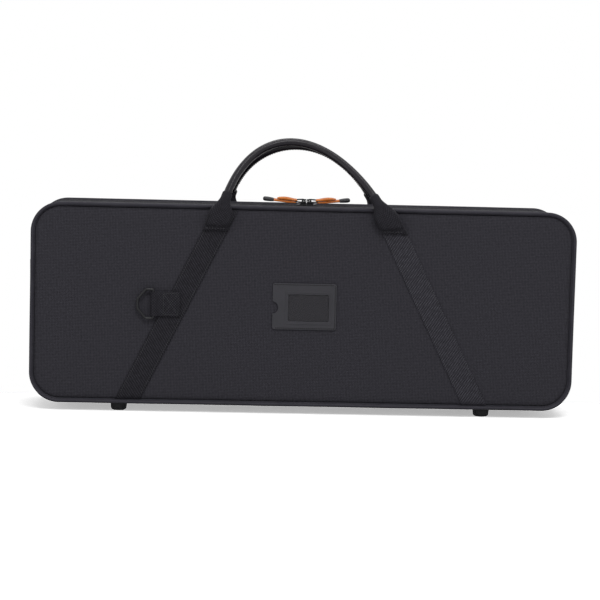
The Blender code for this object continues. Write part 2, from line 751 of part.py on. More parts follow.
def build_base_cushion():
    """The fitted cushion of the base, with wells for the violin, its neck and accessories."""
    rings = [outline_ring(CUSHION_INSET + INNER_FILLET, BASE_FLOOR_Y)]
    rings += [outline_ring(CUSHION_INSET, y) for y in (BASE_FLOOR_Y + INNER_FILLET, CUSHION_TOP_Y)]
    cushion = make_object("base_cushion", loft(rings), PLUSH)

    def cut_well(points, x, z, depth):
        floor = Vector((x, CUSHION_TOP_Y - depth, SHELL_MIDDLE + z))
        clear = ALONG_Y * (depth + CUSHION_BELOW_RIM)
        combine(cushion, prism(points, floor, ALONG_X, ALONG_Z, clear), "DIFFERENCE")

    cut_well(body_well_outline(), BODY_WELL_X, 0, BODY_WELL_DEPTH)
    neck_start = BODY_WELL_END - CUSHION_BORDER
    neck_length = NECK_END - neck_start
    neck = rounded_rectangle(neck_length, NECK_WELL_WIDTH, WELL_CORNER, 4)
    cut_well(neck, neck_start + neck_length / 2, 0, NECK_WELL_DEPTH)
    side_start = BODY_WELL_END + CUSHION_BORDER
    side_length = NECK_END - side_start
    edge = CASE_HEIGHT / 2 - CUSHION_INSET - CUSHION_BORDER
    neck_side = NECK_WELL_WIDTH / 2 + CUSHION_BORDER
    side_well = rounded_rectangle(side_length, edge - neck_side, WELL_CORNER, 4)
    for level in (-1, 1):
        z = level * (edge + neck_side) / 2
        cut_well(side_well, side_start + side_length / 2, z, ACCESSORY_WELL_DEPTH)
    end_start = NECK_END + CUSHION_BORDER
    end_length = CASE_LENGTH / 2 - CUSHION_INSET - CUSHION_BORDER - end_start
    end_well = rounded_rectangle(end_length, 2 * edge, WELL_CORNER, 4)
    cut_well(end_well, end_start + end_length / 2, 0, ACCESSORY_WELL_DEPTH)


def build_pad(name, x, width):
    """A suspension pad with a crown and drawn-in sides, flat on the floor of the body well."""
    floor = CUSHION_TOP_Y - BODY_WELL_DEPTH + GAP
    steps = ((0.94, 0), (1, 0.35), (0.97, 0.65), (0.82, 0.88), (0.5, 0.98))
    rings = []
    for share, level in steps:
        section = []
        for p, q in superellipse(1, 1, 5, 28):
            half_x = share * PAD_LENGTH / 2 * (1 - PAD_DRAWN_IN * (1 - q * q))
            half_z = share * width / 2 * (1 - PAD_DRAWN_IN * (1 - p * p))
            section.append((p * half_x, q * half_z))
        origin = Vector((x, floor + level * PAD_HEIGHT, SHELL_MIDDLE))
        rings.append(place(section, origin, ALONG_X, ALONG_Z))
    return make_object(name, loft(rings), PLUSH)


def build_neck_rest():
    """The cradle that holds the violin's neck, and the strap over it."""
    floor = CUSHION_TOP_Y - NECK_WELL_DEPTH + GAP
    height = NECK_WELL_DEPTH - CRADLE_BELOW_TOP - GAP
    half = NECK_WELL_WIDTH / 2 - CUSHION_FIT
    radius = CRADLE_NOTCH_RADIUS
    bottom = height - CRADLE_NOTCH_DEPTH + radius
    notch = [(-radius, height)] + arc((0, bottom), radius, 180, 360, 8) + [(radius, height)]
    profile = [(half, height), (half, 0), (-half, 0), (-half, height)] + notch
    x = BODY_WELL_END + CRADLE_FROM_BODY
    start = Vector((x, floor, SHELL_MIDDLE))
    shape = prism(profile, start, ALONG_Z, ALONG_Y, ALONG_X * CRADLE_LENGTH)
    make_object("neck_cradle", shape, PLUSH)
    strap = rounded_rectangle(NECK_STRAP_WIDTH, 2 * half, STRAP_EDGE, 2)
    middle = Vector((x + CRADLE_LENGTH / 2, floor + height + GAP, SHELL_MIDDLE))
    shape = prism(strap, middle, ALONG_X, ALONG_Z, ALONG_Y * NECK_STRAP_THICKNESS)
    make_object("neck_strap", shape, WEBBING)


def build_lid_lining():
    """The padded lining of the lid, with a soft round edge."""
    back = CASE_DEPTH / 2 - FACE_THICKNESS - GAP
    rings = [
        outline_ring(CUSHION_INSET + INNER_FILLET, back),
        outline_ring(CUSHION_INSET, back - INNER_FILLET),
        outline_ring(CUSHION_INSET + 0.3 * LINING_ROUND, LINING_FACE_Y + 0.3 * LINING_ROUND),
        outline_ring(CUSHION_INSET + LINING_ROUND, LINING_FACE_Y),
    ]
    return make_object("lid_lining", loft(rings), LINING_FABRIC)


def build_bow_clip(name, z):
    """A bow clip on the lid: a moulded block with a socket, and the spinner that turns in it."""
    foot = Vector((BOW_CLIP_FROM_END - CASE_LENGTH / 2, LINING_FACE_Y - GAP, z))
    socket_radius = SPINNER_STEM_RADIUS + 2 * GAP
    socket_floor = BOW_CLIP_HEIGHT - SPINNER_STEM_DEPTH - 2 * GAP
    half_length, half_width = BOW_CLIP_LENGTH / 2, BOW_CLIP_WIDTH / 2
    block = [
        (superellipse(half_length, half_width, 3, 20), 0),
        (superellipse(0.9 * half_length, 0.9 * half_width, 3, 20), BOW_CLIP_HEIGHT),
        (circle(socket_radius, 20), BOW_CLIP_HEIGHT),
        (circle(socket_radius, 20), socket_floor),
    ]
    rings = [place(points, foot - ALONG_Y * level, ALONG_X, ALONG_Z) for points, level in block]
    make_object(f"bow_clip_{name}", loft(rings), BLACK_RUBBER)
    under = BOW_CLIP_HEIGHT + GAP
    half_length, half_width = SPINNER_LENGTH / 2, SPINNER_WIDTH / 2
    knob = [
        (circle(SPINNER_STEM_RADIUS, 20), BOW_CLIP_HEIGHT - SPINNER_STEM_DEPTH),
        (circle(SPINNER_STEM_RADIUS, 20), under),
        (superellipse(half_width, half_length, 2.4, 20), under),
        (superellipse(half_width, half_length, 2.4, 20), under + 0.6 * SPINNER_HEIGHT),
        (superellipse(0.7 * half_width, 0.85 * half_length, 2.4, 20), under + SPINNER_HEIGHT),
    ]
    rings = [place(points, foot - ALONG_Y * level, ALONG_X, ALONG_Z) for points, level in knob]
    spinner = make_object(f"bow_spinner_{name}", loft(rings), BLACK_RUBBER)
    set_pivot(f"bow_spinner_pivot_{name}", foot, [spinner])


def build_bow_loop(name, z):
    """An elastic loop on the lid that takes a bow's tip."""
    half = BOW_LOOP_SPAN / 2
    inner = half - BOW_LOOP_THICKNESS
    arch = [(p, BOW_LOOP_HEIGHT / half * q) for p, q in arc((0, 0), half, 0, 180, 12)]
    inner_rise = (BOW_LOOP_HEIGHT - BOW_LOOP_THICKNESS) / inner
    arch += [(p, inner_rise * q) for p, q in arc((0, 0), inner, 180, 0, 12)]
    foot = Vector((CASE_LENGTH / 2 - BOW_LOOP_FROM_END, LINING_FACE_Y - GAP, z))
    shape = prism(arch, foot, ALONG_Z, -ALONG_Y, ALONG_X * BOW_LOOP_BAND)
    make_object(f"bow_loop_{name}", shape, WEBBING)


def build_lid_fittings():
    """The bow clips and tip loops, one of each to a bow."""
    for name, level in (("upper", 1), ("lower", -1)):
        z = SHELL_MIDDLE + level * BOW_SPACING / 2
        build_bow_clip(name, z)
        build_bow_loop(name, z)


def build_half(half_name, side_name, side, depth, rise):
    """One half of the case with everything that its outside carries."""
    build_shell(f"{half_name}_shell", side, depth)
    build_piping(f"{half_name}_piping", side)
    build_zip(f"{half_name}_zip", side)
    for end_name, end in (("left", LEFT), ("right", RIGHT)):
        build_strap(f"{side_name}_strap_{end_name}", end, side)
        build_foot(f"{side_name}_foot_{end_name}", end, side)
    build_handle(side_name, side, rise)
    build_ring(side_name, side)


def hang_lid():
    """Hangs everything that moves with the lid on an empty at the hinge."""
    carried = [
        part
        for part in bpy.data.objects
        if part.parent is None and part.name.startswith(("lid_", "back_", "bow_"))
    ]
    hinge_z = FOOT_HEIGHT + TAPE_REBATE - GAP - HINGE_STRIP_THICKNESS / 2
    set_pivot("case_hinge_pivot", (0, PARTING_Y, hinge_z), carried)


def main():
    """Clears the scene and builds the case."""
    for old in list(bpy.data.objects):
        bpy.data.objects.remove(old)
    build_half("base", "front", FRONT, BASE_DEPTH, FRONT_HANDLE_RISE)
    build_half("lid", "back", BACK, LID_DEPTH, BACK_HANDLE_RISE)
    build_hinge_strip()
    build_card_holder()
    build_zip_end("left", LEFT)
    build_zip_end("right", RIGHT)
    build_base_cushion()
    pad_from_end = PAD_FROM_END + PAD_LENGTH / 2
    build_pad("lower_pad", BODY_WELL_X + pad_from_end, LOWER_PAD_WIDTH)
    build_pad("upper_pad", BODY_WELL_END - pad_from_end, UPPER_PAD_WIDTH)
    build_neck_rest()
    build_lid_lining()
    build_lid_fittings()
    hang_lid()


main()
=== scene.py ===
"""Looks of an oblong violin case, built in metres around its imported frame.

X runs along the case, the card holder is on the front at -Y, and the floor is Z = 0. The front half is the
base. The back half is the lid, hinged along the bottom and zipped round the rest.
"""

import logging
import math
from bisect import bisect_left
from dataclasses import dataclass
from enum import Enum
from functools import cached_property
from typing import Callable, Optional, Sequence

import bmesh
import bpy
from mathutils import Euler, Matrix, Quaternion, Vector, noise


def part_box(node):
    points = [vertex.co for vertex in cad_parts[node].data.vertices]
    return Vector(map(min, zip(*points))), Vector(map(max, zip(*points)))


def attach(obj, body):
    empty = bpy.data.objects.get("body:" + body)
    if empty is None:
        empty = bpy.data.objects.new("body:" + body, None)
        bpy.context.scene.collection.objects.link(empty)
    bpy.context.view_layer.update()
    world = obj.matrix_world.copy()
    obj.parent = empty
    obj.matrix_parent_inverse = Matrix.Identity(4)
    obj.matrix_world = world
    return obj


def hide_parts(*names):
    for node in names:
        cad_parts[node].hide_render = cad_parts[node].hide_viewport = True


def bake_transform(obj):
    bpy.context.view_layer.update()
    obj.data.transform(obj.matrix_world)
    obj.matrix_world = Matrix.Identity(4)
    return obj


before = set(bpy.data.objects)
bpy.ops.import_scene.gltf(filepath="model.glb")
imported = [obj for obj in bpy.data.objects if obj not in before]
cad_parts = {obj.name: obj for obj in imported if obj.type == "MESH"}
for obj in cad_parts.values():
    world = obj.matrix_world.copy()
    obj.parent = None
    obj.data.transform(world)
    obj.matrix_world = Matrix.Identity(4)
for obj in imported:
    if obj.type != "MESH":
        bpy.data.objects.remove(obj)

LOG = logging.getLogger("violin_case")
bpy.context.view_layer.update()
ALONG, AWAY, UP = Vector((1, 0, 0)), Vector((0, 1, 0)), Vector((0, 0, 1))
MM = 0.001
SHARP_ANGLE = 40.0
TINY = 1e-9

Ring = list[Vector]
Flat = list[tuple[float, float]]
Profile = tuple[tuple[float, ...], ...]
Piece = bpy.types.Object
Tree = bpy.types.NodeTree
Node = bpy.types.Node
Socket = bpy.types.NodeSocket


class Side(Enum):
    """The two faces of the case, by the sign of their Y."""

    FRONT = -1
    BACK = 1


class End(Enum):
    """The two ends of the case as seen from the front, by the sign of their X."""

    LEFT = -1
    RIGHT = 1


# Colours and nodes


def linear(hex_code: str) -> tuple[float, ...]:
    """Turns six sRGB hex digits into a linear colour with an alpha of one."""
    levels = [int(hex_code[i : i + 2], 16) / 255 for i in (0, 2, 4)]
    return tuple(v / 12.92 if v <= 0.04045 else ((v + 0.055) / 1.055) ** 2.4 for v in levels) + (1.0,)


def add_node(
    tree: Tree, kind: str, links: Optional[dict] = None, values: Optional[dict] = None, **settings: object
) -> Node:
    """Adds a node with its settings, constants and links.

    Args:
        tree: Node tree that takes the node.
        kind: Blender's name for the node's type.
        links: Output sockets by the input that each one feeds.
        values: Constants by the input that holds each one.
        **settings: Attributes of the node.

    Returns:
        The new node.
    """
    node = tree.nodes.new(kind)
    for key, value in settings.items():
        setattr(node, key, value)
    for key, value in (values or {}).items():
        node.inputs[key].default_value = value
    for key, socket in (links or {}).items():
        tree.links.new(socket, node.inputs[key])
    return node


@dataclass(frozen=True)
class Finish:
    """A material named for what it really is, with the record's slot that it belongs to."""

    name: str
    slot: str
    colour: str
    roughness: float

    def material(self) -> bpy.types.Material:
        """Gives the finish's material, which is made when it is first asked for.

        Returns:
            The material.
        """
        found = bpy.data.materials.get(self.name)
        if found:
            return found
        made = bpy.data.materials.new(self.name)
        made.use_nodes = True
        shader = made.node_tree.nodes["Principled BSDF"]
        shader.inputs["Base Color"].default_value = linear(self.colour)
        shader.inputs["Roughness"].default_value = self.roughness
        self.paint(made.node_tree, shader)
        return made

    def paint(self, tree: Tree, shader: Node) -> None:
        """Adds the pattern of this finish to its material's node tree and shader."""
        raise NotImplementedError

    def relief(self, tree: Tree, shader: Node, height: Socket, depth: float, amount: float) -> None:
        """Feeds a height into the shader's normal.

        Args:
            tree: The material's node tree.
            shader: Its Principled shader.
            height: Socket that gives the height, from 0 to 1.
            depth: Real depth of the relief in metres.
            amount: Strength of the bump.
        """
        values = {"Strength": amount, "Distance": depth}
        bump = add_node(tree, "ShaderNodeBump", {"Height": height}, values)
        tree.links.new(bump.outputs["Normal"], shader.inputs["Normal"])

    def tint(self, tree: Tree, shader: Node, factor: Socket, stops: dict[float, str]) -> None:
        """Colours the surface by a factor.

        Args:
            tree: The material's node tree.
            shader: Its Principled shader.
            factor: Socket that gives the factor, from 0 to 1.
            stops: sRGB hex values by their place on the ramp.
        """
        ramp = add_node(tree, "ShaderNodeValToRGB", {"Fac": factor})
        elements = ramp.color_ramp.elements
        for i, (stop, colour) in enumerate(sorted(stops.items())):
            element = elements[i] if i < len(elements) else elements.new(stop)
            element.position = stop
            element.color = linear(colour)
        tree.links.new(ramp.outputs["Color"], shader.inputs["Base Color"])


@dataclass(frozen=True)
class PlainWeave(Finish):
    """Cloth of single threads that pass over and under each other."""

    shade: str
    thread_mm: float
    depth_mm: float
    sheen: float
    cloud_mm: float = 3.333

    def paint(self, tree: Tree, shader: Node) -> None:
        """Adds crossing threads, each a round ridge where it is on top, with painted shade in the hollows
        between them and slow cloudy changes of tone.

        Args:
            tree: The material's node tree.
            shader: Its Principled shader.
        """
        where = add_node(tree, "ShaderNodeTexCoord")
        scale = {1: (1 / (self.thread_mm * MM),) * 3}
        cells = add_node(tree, "ShaderNodeVectorMath", {0: where.outputs["UV"]}, scale, operation="MULTIPLY")
        axes = add_node(tree, "ShaderNodeSeparateXYZ", {0: cells.outputs[0]})
        ridges = []
        for axis in ("X", "Y"):
            links = {0: axes.outputs[axis]}
            turn = add_node(tree, "ShaderNodeMath", links, {1: math.pi}, operation="MULTIPLY")
            wave = add_node(tree, "ShaderNodeMath", {0: turn.outputs[0]}, operation="SINE")
            ridges.append(add_node(tree, "ShaderNodeMath", {0: wave.outputs[0]}, operation="ABSOLUTE"))
        on_top = add_node(tree, "ShaderNodeTexChecker", {"Vector": cells.outputs[0]}, {"Scale": 1.0})
        links = {0: on_top.outputs["Fac"], 2: ridges[0].outputs[0], 3: ridges[1].outputs[0]}
        threads = add_node(tree, "ShaderNodeMix", links)
        clouds = add_node(
            tree,
            "ShaderNodeTexNoise",
            {"Vector": where.outputs["Object"]},
            {"Scale": 1 / (self.cloud_mm * MM), "Detail": 4.0, "Roughness": 0.7},
        )
        links = {0: threads.outputs[0], 1: clouds.outputs["Fac"]}
        tone = add_node(tree, "ShaderNodeMath", links, operation="MULTIPLY")
        # The ramp paints shade into the hollows between threads, where the ridge height is low; the clouds
        # vary the tone at random.
        self.tint(tree, shader, tone.outputs[0], {0.0: self.shade, 0.55: self.colour})
        self.relief(tree, shader, threads.outputs[0], self.depth_mm * MM, amount=0.5)
        shader.inputs["Specular IOR Level"].default_value = 0.08
        shader.inputs["Sheen Weight"].default_value = self.sheen
        shader.inputs["Sheen Roughness"].default_value = 0.5


@dataclass(frozen=True)
class Twill(Finish):
    """Webbing whose floats step sideways from row to row, which draws a slanting line."""

    shade: str
    rib_mm: float
    depth_mm: float
    fuzz_mm: float = 4.545

    def paint(self, tree: Tree, shader: Node) -> None:
        """Adds slanting ribs, broken into short floats by the threads that cross them, with painted shade in
        the hollows between the floats.

        Args:
            tree: The material's node tree.
            shader: Its Principled shader.
        """
        where = add_node(tree, "ShaderNodeTexCoord")
        axes = add_node(tree, "ShaderNodeSeparateXYZ", {0: where.outputs["UV"]})
        heights = []
        links = {0: axes.outputs["X"], 1: axes.outputs["Y"]}
        scale = {1: math.pi / (math.sqrt(2) * self.rib_mm * MM)}
        for operation in ("ADD", "SUBTRACT"):
            slant = add_node(tree, "ShaderNodeMath", links, operation=operation)
            turn = add_node(tree, "ShaderNodeMath", {0: slant.outputs[0]}, scale, operation="MULTIPLY")
            wave = add_node(tree, "ShaderNodeMath", {0: turn.outputs[0]}, operation="SINE")
            heights.append(add_node(tree, "ShaderNodeMath", {0: wave.outputs[0]}, operation="ABSOLUTE"))
        links = {0: heights[0].outputs[0], 1: heights[1].outputs[0]}
        floats = add_node(tree, "ShaderNodeMath", links, operation="MULTIPLY")
        fuzz = add_node(
            tree,
            "ShaderNodeTexNoise",
            {"Vector": where.outputs["Object"]},
            {"Scale": 1 / (self.fuzz_mm * MM), "Detail": 3.0},
        )
        links = {0: floats.outputs[0], 1: fuzz.outputs["Fac"]}
        tone = add_node(tree, "ShaderNodeMath", links, operation="MULTIPLY")
        # The ramp paints shade into the hollows between floats, so that only the float tops keep the full
        # colour; the fuzz varies the tone at random.
        self.tint(tree, shader, tone.outputs[0], {0.05: self.shade, 0.5: self.colour})
        self.relief(tree, shader, floats.outputs[0], self.depth_mm * MM, amount=0.7)
        shader.inputs["Specular IOR Level"].default_value = 0.1
        shader.inputs["Sheen Weight"].default_value = 0.02
        shader.inputs["Sheen Roughness"].default_value = 0.4


@dataclass(frozen=True)
class Grained(Finish):
    """A skin with a pebbled grain: leather or embossed vinyl."""

    shade: str
    grain_mm: float
    depth_mm: float
    roughness_spread: float
    specular: float
    wear_mm: float = 22.22

    def paint(self, tree: Tree, shader: Node) -> None:
        """Adds pebbles with fine creases between them, and patches that are handled to a shine.

        Args:
            tree: The material's node tree.
            shader: Its Principled shader.
        """
        where = add_node(tree, "ShaderNodeTexCoord")
        pebbles = add_node(
            tree,
            "ShaderNodeTexVoronoi",
            {"Vector": where.outputs["Object"]},
            {"Scale": 1 / (self.grain_mm * MM)},
            feature="DISTANCE_TO_EDGE",
        )
        links = {"Value": pebbles.outputs["Distance"]}
        creases = add_node(tree, "ShaderNodeMapRange", links, {"From Max": 0.25})
        wear = add_node(
            tree,
            "ShaderNodeTexNoise",
            {"Vector": where.outputs["Object"]},
            {"Scale": 1 / (self.wear_mm * MM), "Detail": 4.0},
        )
        polish = add_node(
            tree,
            "ShaderNodeMapRange",
            {"Value": wear.outputs["Fac"]},
            {
                "From Min": 0.3,
                "From Max": 0.7,
                "To Min": self.roughness - self.roughness_spread,
                "To Max": self.roughness + self.roughness_spread,
            },
        )
        tree.links.new(polish.outputs["Result"], shader.inputs["Roughness"])
        self.tint(tree, shader, wear.outputs["Fac"], {0.3: self.shade, 0.7: self.colour})
        self.relief(tree, shader, creases.outputs["Result"], self.depth_mm * MM, amount=0.35)
        shader.inputs["Specular IOR Level"].default_value = self.specular


@dataclass(frozen=True)
class Moulded(Finish):
    """Plastic, rubber or lacquer that took its skin from a mould or a spray."""

    shade: str
    texture_mm: float
    depth_mm: float
    specular: float
    tone_mm: float = 16.67

    def paint(self, tree: Tree, shader: Node) -> None:
        """Adds the fine spark-eroded or sprayed texture, and a slow change of tone.

        Args:
            tree: The material's node tree.
            shader: Its Principled shader.
        """
        where = add_node(tree, "ShaderNodeTexCoord")
        skin = add_node(
            tree,
            "ShaderNodeTexNoise",
            {"Vector": where.outputs["Object"]},
            {"Scale": 1 / (self.texture_mm * MM), "Detail": 2.0},
        )
        tone = add_node(
            tree,
            "ShaderNodeTexNoise",
            {"Vector": where.outputs["Object"]},
            {"Scale": 1 / (self.tone_mm * MM), "Detail": 3.0},
        )
        self.tint(tree, shader, tone.outputs["Fac"], {0.3: self.shade, 0.7: self.colour})
        self.relief(tree, shader, skin.outputs["Fac"], self.depth_mm * MM, amount=0.3)
        shader.inputs["Specular IOR Level"].default_value = self.specular


@dataclass(frozen=True)
class Pile(Finish):
    """Short upright pile that darkens where it is brushed towards the eye."""

    shade: str
    tuft_mm: float
    depth_mm: float
    brush_mm: float = 71.43

    def paint(self, tree: Tree, shader: Node) -> None:
        """Adds tufts, and broad brushed patches with a soft bloom at their edges. The patches are painted
        shade and sheen: darker and paler tone for pile that lies different ways to the eye.

        Args:
            tree: The material's node tree.
            shader: Its Principled shader.
        """
        where = add_node(tree, "ShaderNodeTexCoord")
        tufts = add_node(
            tree,
            "ShaderNodeTexNoise",
            {"Vector": where.outputs["Object"]},
            {"Scale": 1 / (self.tuft_mm * MM), "Detail": 3.0},
        )
        brushed = add_node(
            tree,
            "ShaderNodeTexNoise",
            {"Vector": where.outputs["Object"]},
            {"Scale": 1 / (self.brush_mm * MM), "Detail": 3.0, "Distortion": 1.2},
        )
        links = {2: brushed.outputs["Fac"], 3: tufts.outputs["Fac"]}
        tone = add_node(tree, "ShaderNodeMix", links, {"Factor": 0.45})
        # The brushed patches paint in the shade and sheen of pile that lies different ways; the tufts vary
        # the tone at random.
        self.tint(tree, shader, tone.outputs[0], {0.35: self.shade, 0.65: self.colour})
        self.relief(tree, shader, tufts.outputs["Fac"], self.depth_mm * MM, amount=0.6)
        shader.inputs["Specular IOR Level"].default_value = 0.1
        shader.inputs["Sheen Weight"].default_value = 0.35
        shader.inputs["Sheen Roughness"].default_value = 0.35


@dataclass(frozen=True)
class Ribbed(Finish):
    """Woven tape or twisted thread with ribs across its run."""

    shade: str
    rib_mm: float
    depth_mm: float

    def paint(self, tree: Tree, shader: Node) -> None:
        """Adds ribs across the run, with painted shade in the hollows between them.

        Args:
            tree: The material's node tree.
            shader: Its Principled shader.
        """
        where = add_node(tree, "ShaderNodeTexCoord")
        axes = add_node(tree, "ShaderNodeSeparateXYZ", {0: where.outputs["UV"]})
        scale = {1: math.pi / (self.rib_mm * MM)}
        turn = add_node(tree, "ShaderNodeMath", {0: axes.outputs["Y"]}, scale, operation="MULTIPLY")
        wave = add_node(tree, "ShaderNodeMath", {0: turn.outputs[0]}, operation="SINE")
        ribs = add_node(tree, "ShaderNodeMath", {0: wave.outputs[0]}, operation="ABSOLUTE")
        # The ramp paints shade into the hollows between ribs.
        self.tint(tree, shader, ribs.outputs[0], {0.0: self.shade, 0.8: self.colour})
        self.relief(tree, shader, ribs.outputs[0], self.depth_mm * MM, amount=0.5)
        shader.inputs["Specular IOR Level"].default_value = 0.25


@dataclass(frozen=True)
class Clear(Finish):
    """Clear flexible sheet, so thin that it lets light straight through."""

    cover: float
    ripple_mm: float
    depth_mm: float = 0.2
    smear: float = 0.2

    def paint(self, tree: Tree, shader: Node) -> None:
        """Lets the light through, with the faint ripple of a calendered sheet and a few dull smears.

        Args:
            tree: The material's node tree.
            shader: Its Principled shader.
        """
        where = add_node(tree, "ShaderNodeTexCoord")
        ripple = add_node(
            tree,
            "ShaderNodeTexNoise",
            {"Vector": where.outputs["Object"]},
            {"Scale": 1 / (self.ripple_mm * MM), "Detail": 2.0},
        )
        smears = add_node(
            tree,
            "ShaderNodeMapRange",
            {"Value": ripple.outputs["Fac"]},
            {
                "From Min": 0.4,
                "From Max": 0.75,
                "To Min": self.roughness,
                "To Max": self.roughness + self.smear,
            },
        )
        tree.links.new(smears.outputs["Result"], shader.inputs["Roughness"])
        self.relief(tree, shader, ripple.outputs["Fac"], self.depth_mm * MM, amount=0.1)
        shader.inputs["Alpha"].default_value = self.cover
        shader.inputs["Specular IOR Level"].default_value = 0.3


# Oxford polyester: dull, dry and even. Its threads are 0.6 mm, too fine to show, so they are drawn coarser,
# at 2.2 mm.
COVER_CLOTH = PlainWeave(
    name="oxford_polyester", slot="cover_fabric", colour="3b3a40", roughness=0.9,
    shade="1d1c20", thread_mm=2.2, depth_mm=0.3, sheen=0.02,
)
# Plasticised vinyl drawn over a cord: smooth, with one long soft highlight.
PIPING_VINYL = Grained(
    name="drawn_vinyl", slot="piping_vinyl", colour="38373d", roughness=0.46,
    shade="313036", grain_mm=1.2, depth_mm=0.02, roughness_spread=0.05, specular=0.06,
)
# Polypropylene webbing: a slanting rib that glints in dots. Its ribs are 1.3 mm, drawn coarser, at 2.8 mm,
# so that they show.
WEBBING = Twill(
    name="polypropylene_twill", slot="webbing", colour="302f35", roughness=0.62,
    shade="131216", rib_mm=2.8, depth_mm=0.5,
)
# The same webbing on the strap that slants the other way, in a paler tone: a painted sheen for the extra
# light that it catches.
SHEEN_LIT_WEBBING = Twill(
    name="crossed_polypropylene_twill", slot="webbing", colour="44434a", roughness=0.58,
    shade="1e1d22", rib_mm=2.8, depth_mm=0.5,
)
# Calf leather with a pigmented top coat: near black, satin, with lilac-grey lights.
GRIP_LEATHER = Grained(
    name="pigmented_calf", slot="grip_leather", colour="1d1a20", roughness=0.26,
    shade="151318", grain_mm=0.9, depth_mm=0.03, roughness_spread=0.04, specular=0.22,
)
# Calendered vinyl sheet: smooth and a little paler than the cloth round it.
CARD_VINYL = Grained(
    name="calendered_vinyl", slot="card_vinyl", colour="353439", roughness=0.5,
    shade="303034", grain_mm=0.7, depth_mm=0.02, roughness_spread=0.05, specular=0.22,
)
# Clear vinyl sheet: see-through, with a dull shine.
CLEAR_VINYL = Clear(
    name="clear_vinyl", slot="clear_sheet", colour="28272c", roughness=0.28,
    cover=0.7, ripple_mm=25.0,
)
# Die-cast zinc under black lacquer: dark, with small clean highlights.
LACQUERED_ZINC = Moulded(
    name="lacquered_zinc", slot="black_metal", colour="18181b", roughness=0.36,
    shade="111114", texture_mm=0.5, depth_mm=0.01, specular=0.28,
)
# Moulded rubber: dull, with soft grey lights on its edges.
FOOT_RUBBER = Moulded(
    name="moulded_rubber", slot="black_rubber", colour="1d1d20", roughness=0.62,
    shade="171719", texture_mm=0.6, depth_mm=0.03, specular=0.25,
)
# Moulded thermoplastic: satin, with a fine spark-eroded skin.
MOULDED_PLASTIC = Moulded(
    name="moulded_nylon", slot="moulded_plastic", colour="232327", roughness=0.5,
    shade="1c1c20", texture_mm=0.5, depth_mm=0.03, specular=0.3,
)
# Aniline-dyed cowhide: a warm orange that deepens where it is creased.
ORANGE_LEATHER = Grained(
    name="aniline_cowhide", slot="orange_leather", colour="dd8438", roughness=0.52,
    shade="c4671f", grain_mm=0.8, depth_mm=0.05, roughness_spread=0.06, specular=0.3,
)
# Nylon monofilament teeth: small, black and slightly glossy.
ZIP_TEETH = Moulded(
    name="nylon_teeth", slot="zip_nylon", colour="1a1a1d", roughness=0.42,
    shade="141417", texture_mm=0.4, depth_mm=0.01, specular=0.3,
)
# Polyester zip tape: a fine herringbone that reads as close ribs. They are 0.4 mm, drawn coarser, at 1 mm,
# so that they show.
ZIP_TAPE = Ribbed(
    name="polyester_tape", slot="zip_nylon", colour="242427", roughness=0.85,
    shade="161618", rib_mm=1.0, depth_mm=0.15,
)
# Bonded polyester thread: twisted, with a dot of light on each stitch.
THREAD = Ribbed(
    name="bonded_thread", slot="webbing", colour="3a3a3d", roughness=0.5,
    shade="262628", rib_mm=0.5, depth_mm=0.08,
)
# The same thread dyed black: a row of dark dashes that sinks into the vinyl.
DARK_THREAD = Ribbed(
    name="black_thread", slot="card_vinyl", colour="161618", roughness=0.6,
    shade="0e0e10", rib_mm=0.5, depth_mm=0.08,
)
# The same thread in a paler grey: a row of light dots.
PALE_THREAD = Ribbed(
    name="pale_grey_thread", slot="webbing", colour="58585a", roughness=0.55,
    shade="3e3e40", rib_mm=0.5, depth_mm=0.08,
)
# Nylon velour: short pile, soft, with a bloom at its edges.
VELOUR = Pile(
    name="nylon_velour", slot="plush", colour="45454f", roughness=0.95,
    shade="33333b", tuft_mm=1.4, depth_mm=0.5,
)
# Brushed velour: a little paler, with broad soft strokes.
LINING_VELOUR = Pile(
    name="brushed_velour", slot="lining_fabric", colour="52525c", roughness=0.95,
    shade="3f3f48", tuft_mm=1.4, depth_mm=0.4,
)


# Meshes


def arc(centre: tuple[float, float], radius: float, start: float, end: float, steps: int) -> Flat:
    """Points of an arc from one angle to another, in degrees, with both of its ends."""
    angles = [math.radians(start + (end - start) * i / steps) for i in range(steps + 1)]
    return [(centre[0] + radius * math.cos(a), centre[1] + radius * math.sin(a)) for a in angles]


def circle(radius: float, sides: int) -> Flat:
    """Points of a circle about the origin."""
    return arc((0, 0), radius, 0, 360, sides)[:-1]


def superellipse(half_width: float, half_height: float, power: float, sides: int) -> Flat:
    """Points of an oval that grows squarer with its power.

    Args:
        half_width: Half of its width.
        half_height: Half of its height.
        power: 2 for an ellipse, and more for a squarer oval.
        sides: Number of points.

    Returns:
        The points.
    """
    return [
        (
            half_width * math.copysign(abs(x) ** (2 / power), x),
            half_height * math.copysign(abs(y) ** (2 / power), y),
        )
        for x, y in circle(1, sides)
    ]


def rounded_polygon(corners: Sequence[tuple[float, float]], radius: float, steps: int) -> Flat:
    """A closed outline whose corners are rounded by arcs that touch both of their sides.

    Args:
        corners: Corners in order.
        radius: Radius of every corner.
        steps: Steps in each arc.

    Returns:
        The outline's points.
    """
    points: Flat = []
    for i, corner in enumerate(Vector(c) for c in corners):
        back = (Vector(corners[i - 1]) - corner).normalized()
        ahead = (Vector(corners[(i + 1) % len(corners)]) - corner).normalized()
        half_angle = back.angle(ahead) / 2
        centre = corner + (back + ahead).normalized() * radius / math.sin(half_angle)
        first = corner + back * radius / math.tan(half_angle) - centre
        last = corner + ahead * radius / math.tan(half_angle) - centre
        for step in range(steps + 1):
            points.append(tuple(centre + first.lerp(last, step / steps).normalized() * radius))
    return points


def rounded_rectangle(width: float, height: float, radius: float, steps: int) -> Flat:
    """A rounded rectangle about the origin."""
    x, y = width / 2, height / 2
    return rounded_polygon([(x, -y), (x, y), (-x, y), (-x, -y)], radius, steps)


